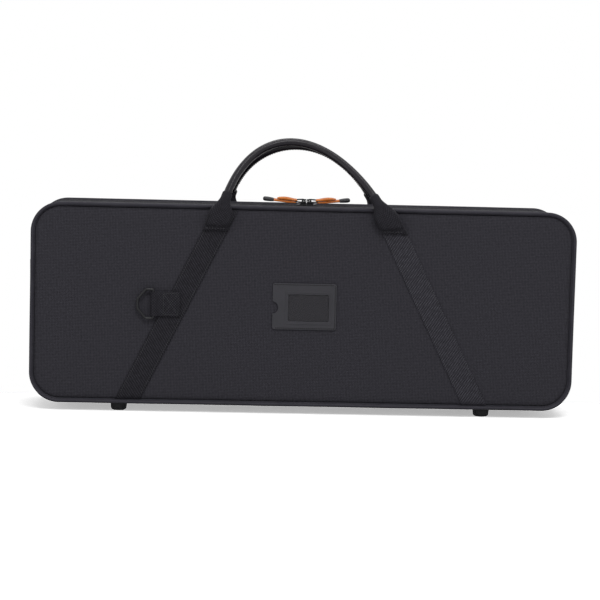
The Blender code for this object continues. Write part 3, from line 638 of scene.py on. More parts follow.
def place(points: Flat, origin: Vector, across: Vector, up: Vector) -> Ring:
    """Sets flat points in space along two directions."""
    return [origin + across * p + up * q for p, q in points]


def section_axes(before: Vector, after: Vector, hint: Vector) -> tuple[Vector, Vector]:
    """Directions across a run and through it.

    Args:
        before: A point behind on the run.
        after: A point ahead on the run.
        hint: Direction that the through direction stays close to.

    Returns:
        The across and through directions, both square to the run.
    """
    run = (after - before).normalized()
    through = (hint - run * hint.dot(run)).normalized()
    return through.cross(run), through


def sweep(path: Ring, section: Flat, hint: Vector, closed: bool = False) -> list[Ring]:
    """Carries a section along a path.

    Args:
        path: Points of the path.
        section: Flat points, across the path and along the hint.
        hint: Direction that the section's second axis stays close to.
        closed: Whether the path's end joins its start.

    Returns:
        One ring for each point of the path.
    """
    rings = []
    last = len(path) - 1
    for i, point in enumerate(path):
        before = path[i - 1] if closed or i else path[0]
        after = path[(i + 1) % len(path)] if closed or i < last else path[last]
        rings.append(place(section, point, *section_axes(before, after, hint)))
    return rings


def waver(point: Vector, pitch: float, amount: float, seed: float = 0.0) -> float:
    """A slow, repeatable unevenness at a point, with swells of one pitch and a largest amount."""
    return amount * noise.noise(point / pitch + Vector((seed, seed, seed)))


class Skin:
    """A mesh in the making, with a UV map in metres."""

    def __init__(self) -> None:
        """Starts an empty mesh."""
        self.shape = bmesh.new()
        self.sheet = self.shape.loops.layers.uv.new("UVMap")

    def loft(self, rings: Sequence[Ring], closed: bool = False, capped: bool = True) -> "Skin":
        """Adds a skin over rings of points.

        Args:
            rings: Rings with as many points each.
            closed: Whether the last ring joins the first.
            capped: Whether flat faces close the two ends.

        Returns:
            This mesh.
        """
        count = len(rings[0])
        rows = [[self.shape.verts.new(point) for point in ring] for ring in rings]
        middle = rings[len(rings) // 2]
        around = [0.0]
        for j in range(count):
            around.append(around[-1] + (middle[(j + 1) % count] - middle[j]).length)
        along = [0.0]
        spans = len(rings) if closed else len(rings) - 1
        probes = range(0, count, max(1, count // 4))
        for i in range(spans):
            following = rings[(i + 1) % len(rings)]
            steps = [(following[j] - rings[i][j]).length for j in probes]
            along.append(along[-1] + sum(steps) / len(steps))
        for i in range(spans):
            row, other = rows[i], rows[(i + 1) % len(rows)]
            for j in range(count):
                k = (j + 1) % count
                face = self.shape.faces.new((row[j], row[k], other[k], other[j]))
                for loop, u, v in zip(face.loops, (j, j + 1, j + 1, j), (i, i, i + 1, i + 1)):
                    loop[self.sheet].uv = (around[u], along[v])
        if capped and not closed:
            for row, level in ((rows[0], along[0]), (rows[-1], along[-1])):
                for loop, u in zip(self.shape.faces.new(row).loops, around):
                    loop[self.sheet].uv = (u, level)
        return self

    def piece(self, name: str, sharp: float = SHARP_ANGLE) -> Piece:
        """Turns the mesh into an object.

        Args:
            name: Name of the piece.
            sharp: Angle in degrees past which an edge stays sharp.

        Returns:
            The piece, linked to the scene.
        """
        bmesh.ops.recalc_face_normals(self.shape, faces=self.shape.faces)
        mesh = bpy.data.meshes.new(name)
        self.shape.to_mesh(mesh)
        self.shape.free()
        return show(name, mesh, sharp)


def show(name: str, mesh: bpy.types.Mesh, sharp: float = SHARP_ANGLE) -> Piece:
    """Links a mesh to the scene as a smoothly shaded piece.

    Args:
        name: Name of the piece.
        mesh: Its mesh.
        sharp: Angle in degrees past which an edge stays sharp.

    Returns:
        The piece.
    """
    mesh.shade_smooth()
    mesh.set_sharp_from_angle(angle=math.radians(sharp))
    piece = bpy.data.objects.new(name, mesh)
    bpy.context.scene.collection.objects.link(piece)
    return piece


def box_map(piece: Piece) -> Piece:
    """Gives each face UVs in metres from the two axes that it lies along.

    Args:
        piece: The piece.

    Returns:
        The same piece.
    """
    mesh = piece.data
    sheet = mesh.uv_layers.get("UVMap") or mesh.uv_layers.new(name="UVMap")
    for face in mesh.polygons:
        facing = [abs(n) for n in face.normal]
        axes = [i for i in range(3) if i != facing.index(max(facing))]
        for loop in face.loop_indices:
            point = mesh.vertices[mesh.loops[loop].vertex_index].co
            sheet.data[loop].uv = (point[axes[0]], point[axes[1]])
    return piece


def dress(piece: Piece, finish: Finish, body: str, *nodes: str) -> Piece:
    """Gives a piece its finish and its place in the frame.

    Args:
        piece: The piece.
        finish: Its finish.
        body: Body that it rides on.
        *nodes: CAD nodes that it stands for.

    Returns:
        The piece.
    """
    piece.data.materials.clear()
    piece.data.materials.append(finish.material())
    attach(piece, body)
    if nodes:
        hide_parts(*nodes)
    LOG.info("%s rides on %s in %s", piece.name, body, finish.name)
    return piece


def dress_node(node: str, finish: Finish, edge: float) -> None:
    """Gives a CAD node whose shape stays a finish and softly broken edges.

    Args:
        node: Name of the node.
        finish: Its finish.
        edge: Width of the broken edges in metres.
    """
    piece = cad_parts[node]
    piece.data.materials.clear()
    piece.data.materials.append(finish.material())
    bevel = piece.modifiers.new("broken_edges", "BEVEL")
    bevel.width = edge
    bevel.segments = 2
    bevel.limit_method = "ANGLE"
    bevel.angle_limit = math.radians(SHARP_ANGLE)
    LOG.info("%s stays, in %s", node, finish.name)


@dataclass(frozen=True)
class Seam:
    """A row of stitches."""

    pitch: float = 0.0034
    stitch: float = 0.0025
    gauge: float = 0.00035
    sides: int = 6
    end_share: float = 0.6
    arch: float = 1.3
    sunk: float = 0.5

    def sew(self, skin: Skin, path: Sequence[tuple[Vector, Vector]]) -> None:
        """Adds stitches along a path, each a short thread whose ends go down into the cloth.

        Args:
            skin: Mesh that takes them.
            path: Points on the cloth, each with the direction out of it.
        """
        lengths = [0.0]
        for (first, _), (second, _) in zip(path, path[1:]):
            lengths.append(lengths[-1] + (second - first).length)

        def at(distance: float) -> tuple[Vector, Vector]:
            """Reads the path at a distance from its start.

            Args:
                distance: The distance along it.

            Returns:
                The point and the direction out of the cloth.
            """
            i = min(max(bisect_left(lengths, distance), 1), len(lengths) - 1)
            span = max(lengths[i] - lengths[i - 1], TINY)
            share = (distance - lengths[i - 1]) / span
            return path[i - 1][0].lerp(path[i][0], share), path[i - 1][1].lerp(path[i][1], share)

        start = (self.pitch - self.stitch) / 2
        while start + self.stitch <= lengths[-1]:
            rings = []
            for share in (0.0, 0.2, 0.5, 0.8, 1.0):
                swell = math.sin(math.pi * share)
                point, out = at(start + self.stitch * share)
                ahead, _ = at(start + self.stitch * share + self.gauge)
                behind, _ = at(start + self.stitch * share - self.gauge)
                axes = section_axes(behind, ahead, out)
                radius = self.gauge * (self.end_share + (1 - self.end_share) * swell)
                height = self.gauge * (self.arch * swell - self.sunk)
                rings.append(place(circle(radius, self.sides), point + out * height, *axes))
            skin.loft(rings)
            start += self.pitch


# Shared sizes


@dataclass(frozen=True)
class CaseForm:
    """Outline of the case and the levels that its sub-assemblies share."""

    length: float
    height: float
    half_depth: float
    parting_y: float
    middle_z: float
    corner_radius: float = 0.042
    corner_steps: int = 20
    run_step: float = 0.02
    seam_inset: float = 0.0050
    seam_roll: float = 0.0032
    roll_length: float = 0.0030
    zip_foot: float = 0.09

    @classmethod
    def from_frame(cls) -> "CaseForm":
        """Reads the outline from the two shells.

        Returns:
            The outline.
        """
        low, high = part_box("base_shell")
        lid_low, lid_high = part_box("lid_shell")
        return cls(
            length=high.x - low.x,
            height=high.z - low.z,
            half_depth=lid_high.y,
            parting_y=(high.y + lid_low.y) / 2,
            middle_z=(low.z + high.z) / 2,
        )

    @property
    def top(self) -> float:
        """Height of the case's top."""
        return self.middle_z + self.height / 2

    def stations(self) -> list[tuple[Vector, Vector]]:
        """Walks the outline from the bottom right over the top.

        Returns:
            Points on the core of the outline, each with its outward direction.
        """
        x, z = self.length / 2 - self.corner_radius, self.height / 2 - self.corner_radius
        corners = [Vector((cx, 0, self.middle_z + cz)) for cx, cz in ((x, -z), (x, z), (-x, z), (-x, -z))]
        found = []
        for quarter, core in enumerate(corners):
            for cos, sin in arc((0, 0), 1, 90 * (quarter - 1), 90 * quarter, self.corner_steps):
                found.append((core, Vector((cos, 0, sin))))
            following = corners[(quarter + 1) % len(corners)]
            count = round((following - core).length / self.run_step)
            found += [(core.lerp(following, step / count), found[-1][1]) for step in range(1, count)]
        return found

    def zip_stations(self) -> list[tuple[Vector, Vector]]:
        """Picks the stations that the zip passes.

        Returns:
            All but those on the bottom and on the lowest part of its corners.
        """
        lowest = self.middle_z - self.height / 2
        reach = self.corner_radius * self.zip_foot
        return [s for s in self.stations() if (s[0] + s[1] * self.corner_radius).z > lowest + reach]

    def y(self, side: Side, depth: float) -> float:
        """Y of a level that lies a depth behind the front or back face."""
        return side.value * (self.half_depth - depth)

    def point(self, station: tuple[Vector, Vector], inset: float, y: float) -> Vector:
        """A point on the outline, moved inward by an inset."""
        return station[0] + station[1] * (self.corner_radius - inset) + AWAY * y

    def ring(self, inset: float, y: float) -> Ring:
        """The whole outline at one inset and depth."""
        return [self.point(station, inset, y) for station in self.stations()]

    def roll(self, inset: float) -> float:
        """How far a covered panel has rolled away from its plane at an inset from its edge."""
        return self.seam_roll * math.exp((self.seam_inset - max(inset, self.seam_inset)) / self.roll_length)


@dataclass(frozen=True)
class StrapForm:
    """Lines that the straps and handles share."""

    width: float = 0.033
    thickness: float = 0.0018
    top_x: float = 0.113
    slope: float = 0.496

    def x(self, end: End, height: float) -> float:
        """X of a strap's middle at a height above the case top."""
        return end.value * (self.top_x - height * self.slope)

    @property
    def half_width(self) -> float:
        """Half of a slanting strap's width, measured along X."""
        return self.width / 2 * math.hypot(1, self.slope)


# Sub-assemblies


@dataclass(frozen=True)
class CaseHalf:
    """One half of the case: covered shell, piping, zip half, hem and feet."""

    form: CaseForm
    side: Side
    body: str
    side_name: str
    face_thickness: float = 0.012
    wall: float = 0.012
    fillet: float = 0.004
    tape_width: float = 0.0155
    tape_rebate: float = 0.0016
    channel_width: float = 0.007
    channel_depth: float = 0.0055
    gap: float = 0.0003
    piping_radius: float = 0.0023
    piping_inset: float = 0.00066
    flange_length: float = 0.0054
    flange_thickness: float = 0.001
    joint_corner: float = 2.65
    lap_over: float = 1.12
    lap_under: float = 0.96
    tooth_pitch: float = 0.0026
    tooth_inset: float = 0.0018
    foot_edge: float = 0.0032
    foot_taper: float = 0.001
    stitch_inset: float = 0.0001
    # How far in from the seam the panel and the gusset have points, in mm.
    roll_mm: tuple[float, ...] = (0, 0.5, 1.3, 2.3, 3.8, 5.8, 9.3, 14, 22, 32)
    # The groove along the piped seam and the stitched hem, as insets and depths in mm.
    groove_mm: Profile = ((0.1, -0.2), (0.8, 0.8), (-0.2, 0.1))
    hem_mm: Profile = ((0, -3.6), (0.35, -2.8), (0, -2.0), (0.2, -0.4), (1.0, 0))
    # The corded edge of the zip tape, as distances from the parting line and insets in mm.
    cord_mm: Profile = ((4.2, 0.6), (3.6, 0.3), (3.0, 0.6), (3.0, 1.6), (3.6, 1.9), (4.2, 1.4))
    tape_face_mm: float = 0.6
    tape_back_mm: float = 1.3
    # A tooth's sections, as distances from the parting line, half widths and half heights in mm.
    tooth_mm: Profile = ((3.3, 0.5, 1.2), (1.2, 0.42, 1.3), (0.6, 0.62, 1.45), (-0.3, 0.5, 1.2))
    # The rim of a foot, as distances in from its top edge and down from it, in mm.
    foot_rim_mm: Profile = ((0.3, 0), (0, 0.8))
    # The moulded ring under a foot, as radii and heights in mm.
    foot_ring_mm: Profile = ((5.0, 0), (4.5, 0.6), (3.0, 0.8))

    @property
    def depth(self) -> float:
        """Depth of this half from its face to the parting line."""
        return abs(self.form.parting_y - self.form.y(self.side, 0))

    @property
    def hem_depth(self) -> float:
        """Depth at which the cover is folded over the zip tape."""
        return self.depth - self.tape_width - self.gap

    def build(self) -> None:
        """Builds every piece of this half."""
        self.build_shell()
        self.build_piping()
        self.build_hem()
        self.build_tape()
        self.build_teeth()
        for end in End:
            self.build_foot(end)

    def build_shell(self) -> Piece:
        """Builds the shell: a panel that rolls into the piped seam, a gusset with a hem and a stepped rim.

        Returns:
            The shell.
        """
        form = self.form
        edge = form.seam_inset
        rolls = [edge + step * MM for step in self.roll_mm]
        steps = [(inset, form.roll(inset)) for inset in reversed(rolls)]
        steps += [(edge + inset * MM, edge + depth * MM) for inset, depth in self.groove_mm]
        steps += [(form.roll(inset), inset) for inset in rolls[:-2]]
        hem = self.hem_depth
        steps += [(inset * MM, hem + depth * MM) for inset, depth in self.hem_mm]
        steps += [(self.tape_rebate, hem)]
        rim = self.depth - self.gap / 2
        channel = self.depth - self.channel_width
        steps += [(self.tape_rebate, channel), (self.channel_depth, channel), (self.channel_depth, rim)]
        steps += [(self.wall, rim), (self.wall, self.face_thickness + self.fillet)]
        steps += [(self.wall + self.fillet, self.face_thickness)]
        rings = [form.ring(inset, form.y(self.side, depth)) for inset, depth in steps]
        piece = box_map(Skin().loft(rings).piece(f"{self.body}_cover", sharp=50))
        return dress(piece, COVER_CLOTH, self.body, f"{self.body}_shell")

    def build_piping(self) -> Piece:
        """Builds the piping: a vinyl-wrapped cord with a flange in the seam, its ends butted at one corner.

        Returns:
            The piping.
        """
        form = self.form
        stations = form.stations()
        joint = round(self.joint_corner * form.corner_steps + (form.height + form.length) / form.run_step)
        stations = stations[joint:] + stations[: joint + 1]
        tail = self.flange_thickness / 2
        spread = math.degrees(math.asin(tail / self.piping_radius))
        flat = arc((0, 0), self.piping_radius, spread, 360 - spread, steps=18)
        flat += [(self.flange_length, -tail), (self.flange_length, tail)]
        rings = []
        last = len(stations) - 1
        for i, station in enumerate(stations):
            spot = form.point(station, 0, 0)
            lap = self.lap_over if i == 0 else self.lap_under if i == last else 1.0
            ring = []
            for p, q in flat:
                inward, behind = (lap * (p - q) / math.sqrt(2), lap * (p + q) / math.sqrt(2))
                inset = self.piping_inset + inward + waver(spot, pitch=0.09, amount=0.25 * MM)
                depth = self.piping_inset + behind + waver(spot, pitch=0.07, amount=0.15 * MM, seed=5.0)
                ring.append(form.point(station, inset, form.y(self.side, depth)))
            rings.append(ring)
        piece = Skin().loft(rings).piece(f"{self.body}_piping_cord")
        return dress(piece, PIPING_VINYL, self.body, f"{self.body}_piping")

    def build_hem(self) -> Piece:
        """Builds the stitches that hold the folded cover to the zip tape.

        Returns:
            The stitches.
        """
        y = self.form.y(self.side, self.hem_depth + self.hem_mm[1][1] * MM)
        path = [(self.form.point(s, self.stitch_inset, y), s[1]) for s in self.form.zip_stations()]
        skin = Skin()
        Seam().sew(skin, path)
        return dress(skin.piece(f"{self.body}_hem_stitches"), THREAD, self.body)

    def zip_y(self, distance: float) -> float:
        """Y of a point that lies a distance from the parting line, on this half."""
        return self.form.parting_y + self.side.value * distance

    def build_tape(self) -> Piece:
        """Builds the zip tape, with the corded edge that carries the teeth.

        Returns:
            The tape.
        """
        section = [(self.tape_width, self.tape_face_mm)]
        section += [(y * MM, inset) for y, inset in self.cord_mm]
        section += [(self.tape_width, self.tape_back_mm)]
        rings = []
        for station in self.form.zip_stations():
            rings.append([self.form.point(station, inset * MM, self.zip_y(y)) for y, inset in section])
        piece = Skin().loft(rings).piece(f"{self.body}_zip_tape")
        return dress(piece, ZIP_TAPE, self.body, f"{self.body}_zip")

    def build_teeth(self) -> Piece:
        """Builds the zip's teeth, which lie between those of the other half.

        Returns:
            The teeth.
        """
        stations = self.form.zip_stations()
        skin = Skin()
        travelled = self.tooth_pitch * (0.25 if self.side is Side.FRONT else 0.75)
        for first, second in zip(stations, stations[1:]):
            start, end = (self.form.point(s, self.tooth_inset, 0) for s in (first, second))
            span = (end - start).length
            while travelled < span:
                share = travelled / span
                run, out = (end - start) / span, first[1].lerp(second[1], share).normalized()
                spot = start.lerp(end, share)
                rings = []
                for y, half_width, half_height in self.tooth_mm:
                    origin = spot + AWAY * self.zip_y(y * MM)
                    section = superellipse(half_width * MM, half_height * MM, power=3, sides=8)
                    rings.append(place(section, origin, run, out))
                skin.loft(rings)
                travelled += self.tooth_pitch
            travelled -= span
        return dress(skin.piece(f"{self.body}_zip_teeth"), ZIP_TEETH, self.body)

    def build_foot(self, end: End) -> Piece:
        """Builds a turned foot with a rounded lower edge and a shallow moulded ring under it.

        Args:
            end: End of the case that it stands at.

        Returns:
            The foot.
        """
        node = f"{self.side_name}_foot_{end.name.lower()}"
        low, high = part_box(node)
        middle = Vector(((low.x + high.x) / 2, (low.y + high.y) / 2, 0))
        top_radius, edge = (high.x - low.x) / 2, self.foot_edge
        base_radius = top_radius - self.foot_taper
        profile = [(top_radius - draw * MM, high.z - drop * MM) for draw, drop in self.foot_rim_mm]
        quarter = arc((0, 0), 1, 0, -90, steps=8)
        profile += [(base_radius + edge * (cos - 1), edge + edge * sin) for cos, sin in quarter]
        profile += [(radius * MM, z * MM) for radius, z in self.foot_ring_mm]
        rings = [place(circle(radius, sides=40), middle + UP * z, ALONG, AWAY) for radius, z in profile]
        return dress(Skin().loft(rings).piece(f"{node}_rubber"), FOOT_RUBBER, self.body, node)


@dataclass(frozen=True)
class HingeStrip:
    """The strip of cover cloth that joins the two halves along the bottom."""

    form: CaseForm
    bend: float = 0.007
    across_steps: int = 28
    along_steps: int = 36

    def build(self) -> Piece:
        """Builds the strip that joins the halves.

        Returns:
            The strip.
        """
        low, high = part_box("hinge_strip")
        rings = []
        for step in range(self.along_steps + 1):
            x = low.x + (high.x - low.x) * step / self.along_steps
            ys = [low.y + (high.y - low.y) * i / self.across_steps for i in range(self.across_steps + 1)]
            ring = [Vector((x, y, low.z)) for y in ys] + [Vector((x, y, high.z)) for y in reversed(ys)]
            rings.append(ring)
        piece = box_map(Skin().loft(rings).piece("hinge_cloth"))
        piece.data.materials.append(COVER_CLOTH.material())
        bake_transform(piece)
        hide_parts("hinge_strip")
        LOG.info("%s bends between base and lid", piece.name)
        return piece


@dataclass(frozen=True)
class Straps:
    """The two slanting straps of a face, tucked into the seams at their ends."""

    form: CaseForm
    strap: StrapForm
    side: Side
    body: str
    side_name: str
    steps: int = 90
    stitch_from_edge: float = 0.0028
    unstitched_steps: int = 3
    seat: float = 0.00009
    tuck_slope: float = 1.2
    tuck_from: float = 0.0003
    tuck_to: float = 0.0002
    # Half of the section's upper side, as shares of the half width and of the thickness.
    selvedge: Profile = ((1, 0.3), (1, 0.6), (0.975, 0.9), (0.93, 1.0), (0.5, 1.04))
    crown: float = 1.05
    under: float = 0.985

    def build(self) -> None:
        """Builds both straps with their stitches."""
        for end in End:
            self.build_strap(end)

    def surface(self, end: End, height: float, share: float, lift: float) -> Vector:
        """A point on a strap's path.

        Args:
            end: The strap's end of the case.
            height: Height above the case top, which is negative down the face.
            share: Place across the strap, from -1 to 1.
            lift: Distance that it stands proud of the panel.

        Returns:
            The point.
        """
        inset = min(-height, self.form.height + height)
        tucked = max(0, self.form.seam_inset + self.tuck_from - inset)
        depth = self.form.roll(inset) + tucked * self.tuck_slope
        x = self.strap.x(end, height) + share * self.strap.half_width
        return Vector((x, self.form.y(self.side, depth - lift), self.form.top + height))

    def build_strap(self, end: End) -> Piece:
        """Builds one strap, with a thin selvedge along each side, and its two rows of stitches.

        Args:
            end: End of the case that the strap slants towards.

        Returns:
            The strap.
        """
        name = f"{self.side_name}_strap_{end.name.lower()}"
        low, thick = self.seat, self.strap.thickness
        mirrored = [(-share, level) for share, level in reversed(self.selvedge)]
        section = [mirrored[-1], (-self.under, 0), (self.under, 0), *self.selvedge]
        section += [(0, self.crown), *mirrored[:-1]]
        top = -self.form.seam_inset + self.tuck_to
        bottom = -self.form.height - top
        heights = [bottom + (top - bottom) * step / self.steps for step in range(self.steps + 1)]
        rings = []
        for height in heights:
            spot = self.surface(end, height, 0, 0)
            sway = waver(spot, pitch=0.05, amount=0.012, seed=2.0 + end.value)
            ring = [self.surface(end, height, share + sway, low + level * thick) for share, level in section]
            rings.append(ring)
        # The strap that slants the other way takes the paler webbing, whose lighter tone is painted sheen.
        finish = SHEEN_LIT_WEBBING if end.value == -self.side.value else WEBBING
        piece = dress(Skin().loft(rings).piece(f"{name}_webbing"), finish, self.body, name)
        out = AWAY * self.side.value
        skin = Skin()
        share = 1 - self.stitch_from_edge / (self.strap.width / 2)
        sewn = heights[self.unstitched_steps : -self.unstitched_steps]
        for edge in (-share, share):
            path = [(self.surface(end, height, edge, low + thick), out) for height in sewn]
            Seam(gauge=0.0003).sew(skin, path)
        dress(skin.piece(f"{name}_stitches"), THREAD, self.body)
        return piece


@dataclass(frozen=True)
class Handle:
    """A handle: a leather-covered grip, whose ends are held in sleeves of rolled webbing."""

    form: CaseForm
    strap: StrapForm
    side: Side
    body: str
    side_name: str
    sway: float
    inward: float
    grip_radius: float = 0.006
    slope: float = 0.44
    stitch_drop: float = 0.035
    stitch_height: float = 0.0046
    stitch_lift: float = 0.0036
    end_thickness: float = 0.0044
    ring_radius: float = 0.0073
    ring_height: float = 0.018
    socket: float = 0.009
    rolled_from: float = 0.8
    gathered_from: float = 0.45
    gathered_to: float = 0.9
    draw_in: float = 0.06
    puff: float = 0.0048
    puff_from: float = 0.125
    puff_rise: float = 0.07
    puff_corner: float = 0.05
    pressed: float = 0.0018
    pressed_to: float = 0.05
    flare: float = 0.20
    bend_height: float = 0.046
    bend_softness: float = 0.010
    clearance: float = 0.0003
    grip_steps: int = 120
    grip_sides: int = 32
    grip_ease: float = 0.0001
    grip_spread: float = 0.02
    seam_pinch: float = 0.0006
    seam_width: float = 0.03
    seam_sunk: float = 0.00045
    seam_aside: float = 0.0015
    unsewn_steps: int = 8
    sleeve_sides: int = 48
    sleeve_spread: float = 0.03
    lap: float = 0.0007
    lap_fade: float = 0.9
    lap_edge: float = 0.05
    lap_degrees: float = -35.0
    crease_share: float = 0.45
    rim_depth: float = 0.0004
    socket_gap: float = 0.0002
    stitch_reach: float = 0.84
    thread_lift: float = 0.00015
    # The rolled rim of a sleeve, as shares of its length and how far it is drawn in, in mm.
    rim_mm: Profile = ((1.008, 0.15), (1.014, 0.5), (1.014, 0.9))

    @cached_property
    def rise(self) -> float:
        """Height of the grip's middle line above the case top."""
        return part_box(f"{self.side_name}_handle_grip")[1].z - self.grip_radius - self.form.top

    def half_width(self, height: float) -> float:
        """Half width of the arch, which is a conic that runs on from straight sleeves.

        Args:
            height: Height above the case top.

        Returns:
            The half width.
        """
        top_x = self.strap.top_x + self.stitch_drop * (self.strap.slope - self.slope)
        if height <= 0:
            return top_x - height * self.slope
        lean = 2 * self.slope * top_x
        fall = (top_x / self.rise) ** 2 - lean / self.rise
        drop = self.rise - height
        return math.sqrt(drop * (lean + 2 * fall * self.rise - fall * drop))

    def bend(self, climb: float) -> float:
        """How far the middle line has turned from the face to the top, at a climb from the stitches."""
        past = climb - self.bend_height
        return (math.hypot(past, self.bend_softness) + past) / 2

    def point(self, end: float, height: float) -> Vector:
        """A point on the middle line, which climbs the face, leans over the top and sways left.

        The left leg may also lean inward above the case top.

        Args:
            end: Sign of the end of the case.
            height: Height above the case top.

        Returns:
            The point.
        """
        climb, reach = height + self.stitch_drop, self.rise + self.stitch_drop
        inner = self.form.half_depth - self.grip_radius - self.clearance
        overall = self.stitch_height + self.flare * reach + inner
        lean = overall / (self.bend(reach) - self.bend(0))
        stand_off = self.stitch_height + self.flare * climb - lean * (self.bend(climb) - self.bend(0))
        x = end * self.half_width(height) - self.sway * climb / reach
        if end < 0:
            x += self.inward * min(1, climb / self.stitch_drop) * (1 - max(0, height) / self.rise) ** 2
        return Vector((x, self.form.y(self.side, -stand_off), self.form.top + height))

    def build(self) -> None:
        """Builds the grip and both sleeves."""
        self.build_grip()
        for end in End:
            self.build_sleeve(end)

    def grip_point(self, step: float) -> Vector:
        """A point on the grip's middle line.

        Args:
            step: Place along the grip, from 0 to its number of steps.

        Returns:
            The point.
        """
        end_height = self.ring_height - self.socket + self.clearance
        turn = math.sqrt(1 - end_height / self.rise) * (2 * step / self.grip_steps - 1)
        return self.point(math.copysign(1, turn), self.rise * (1 - turn**2))

    def build_grip(self) -> Piece:
        """Builds the grip: leather drawn round a core, with its seam on the inside of the arch.

        Returns:
            The grip.
        """
        node = f"{self.side_name}_handle_grip"
        probe = 0.01
        rings, seam = [], []
        for step in range(self.grip_steps + 1):
            before, spot, after = (self.grip_point(step + shift) for shift in (-probe, 0, probe))
            across, through = section_axes(before, after, AWAY)
            ring = []
            for cos, sin in circle(1, self.grip_sides):
                pinch = self.seam_pinch * math.exp(-((1 - cos) / self.seam_width))
                swell = waver(spot + across * cos * self.grip_spread, pitch=0.03, amount=0.18 * MM)
                radius = self.grip_radius - self.grip_ease + swell - pinch
                ring.append(spot + (across * cos + through * sin) * radius)
            rings.append(ring)
            sunk = across * (self.grip_radius - self.seam_sunk)
            seam.append((spot + sunk + through * self.seam_aside, across))
        piece = dress(Skin().loft(rings).piece(f"{node}_leather"), GRIP_LEATHER, self.body, node)
        skin = Skin()
        sewn = seam[self.unsewn_steps : -self.unsewn_steps]
        Seam(pitch=0.0040, stitch=0.0030).sew(skin, sewn)
        dress(skin.piece(f"{node}_seam"), THREAD, self.body)
        return piece

    @property
    def sleeve_length(self) -> float:
        """Length of a sleeve, measured up from its stitches."""
        return self.ring_height + self.stitch_drop

    def sleeve_ring(
        self, end: End, share: float, half_width: float, half_thickness: float, power: float, lap: float
    ) -> Ring:
        """A section of a sleeve, with the edge of the webbing lapped over itself.

        Args:
            end: End of the handle.
            share: Place along the sleeve, from its sewn end to its ring.
            half_width: Half of the section's width.
            half_thickness: Half of its thickness.
            power: Squareness of its oval.
            lap: Height of the lapped edge.

        Returns:
            The section's points.
        """
        height = share * self.sleeve_length - self.stitch_drop
        probe = 0.01 * self.sleeve_length
        before = self.point(end.value, height - probe)
        after = self.point(end.value, height + probe)
        across, through = section_axes(before, after, AWAY)
        if across.x < 0:
            across = -across
        turned = min(1, share / self.rolled_from)
        across = ALONG.lerp(across, turned).normalized()
        through = AWAY.lerp(through, turned).normalized()
        middle = self.point(end.value, height)
        lap_angle = math.radians(self.lap_degrees if end is End.LEFT else 180 - self.lap_degrees)
        points = []
        oval = superellipse(1, 1, power, self.sleeve_sides)
        for (p, q), (cos, sin) in zip(oval, circle(1, self.sleeve_sides)):
            past = (math.atan2(sin, cos) - lap_angle) % math.tau
            overlap = lap * math.exp(-past / self.lap_fade) * (1 - math.exp(-past / self.lap_edge))
            spot = middle + across * cos * self.sleeve_spread + through * sin * self.sleeve_spread
            crease = waver(spot, pitch=0.016, amount=self.crease_share * lap)
            wide, thick = half_width + overlap + crease, half_thickness + overlap + crease
            if q * self.side.value > 0:
                thick += self.swell(share, p)
            points.append(middle + across * p * wide + through * q * thick)
        return points

    def build_sleeve(self, end: End) -> Piece:
        """Builds a sleeve: webbing that lies flat where it is sewn down and is rolled round the grip above.

        Args:
            end: End of the handle.

        Returns:
            The sleeve.
        """
        node = f"{self.side_name}_handle_sleeve_{end.name.lower()}"
        flat = self.end_thickness / 2
        wide = self.strap.half_width
        # Rings lie closer together at the sewn end, where the webbing swells out.
        shares = [step * 0.02 for step in range(12)] + [0.25 + 0.03 * step for step in range(26)]
        rings = []
        for share in shares:
            rolled = min(1, share / self.rolled_from)
            gathered = min(1, max(0, (share - self.gathered_from) / (self.gathered_to - self.gathered_from)))
            drawn = wide * (1 - self.draw_in * min(1, share / self.puff_from))
            half_width = drawn + (self.ring_radius - drawn) * gathered**2 * (3 - 2 * gathered)
            half_thickness = flat + (self.ring_radius - flat) * rolled
            power = 4 - 2 * rolled
            rings.append(self.sleeve_ring(end, share, half_width, half_thickness, power, self.lap * rolled))
        for share, draw in self.rim_mm:
            rim = self.ring_radius - draw * MM
            rings.append(self.sleeve_ring(end, share, rim, rim, power=2, lap=0))
        socket = self.grip_radius + self.socket_gap
        for depth in (self.rim_depth, self.socket):
            share = 1 - depth / self.sleeve_length
            rings.append(self.sleeve_ring(end, share, socket, socket, power=2, lap=0))
        piece = dress(Skin().loft(rings).piece(f"{node}_webbing", sharp=60), WEBBING, self.body, node)
        self.sew_foot(node, end)
        return piece

    def swell(self, share: float, across: float) -> float:
        """How far a sleeve's outer side stands out past its even thickness.

        Args:
            share: Place along the sleeve, from its sewn end to its ring.
            across: Place across it, from -1 to 1.

        Returns:
            The swelling, which is negative at the sewn end, where the webbing is pressed thin.
        """
        pressed = self.pressed * max(0, 1 - share / self.pressed_to)
        start = self.puff_from + self.puff_corner * across**6
        risen = min(1, max(0, (share - start) / self.puff_rise))
        left = min(1, max(0, (self.gathered_to - share) / (self.gathered_to - self.puff_from)))
        return self.puff * math.sqrt(1 - (1 - risen) ** 2) * left**2 * (3 - 2 * left) - pressed

    def sew_foot(self, node: str, end: End) -> None:
        """Sews a sleeve's flat end down with a row of stitches.

        Args:
            node: The sleeve's CAD node.
            end: End of the handle.
        """
        skin = Skin()
        out = AWAY * self.side.value
        middle = self.point(end.value, self.stitch_lift - self.stitch_drop)
        middle += out * (self.end_thickness / 2 + self.thread_lift)
        reach = ALONG * self.strap.half_width * self.stitch_reach
        path = [(middle - reach, out), (middle + reach, out)]
        Seam(pitch=0.0040, stitch=0.0020, gauge=0.0004).sew(skin, path)
        dress(skin.piece(f"{node}_stitches"), PALE_THREAD, self.body)


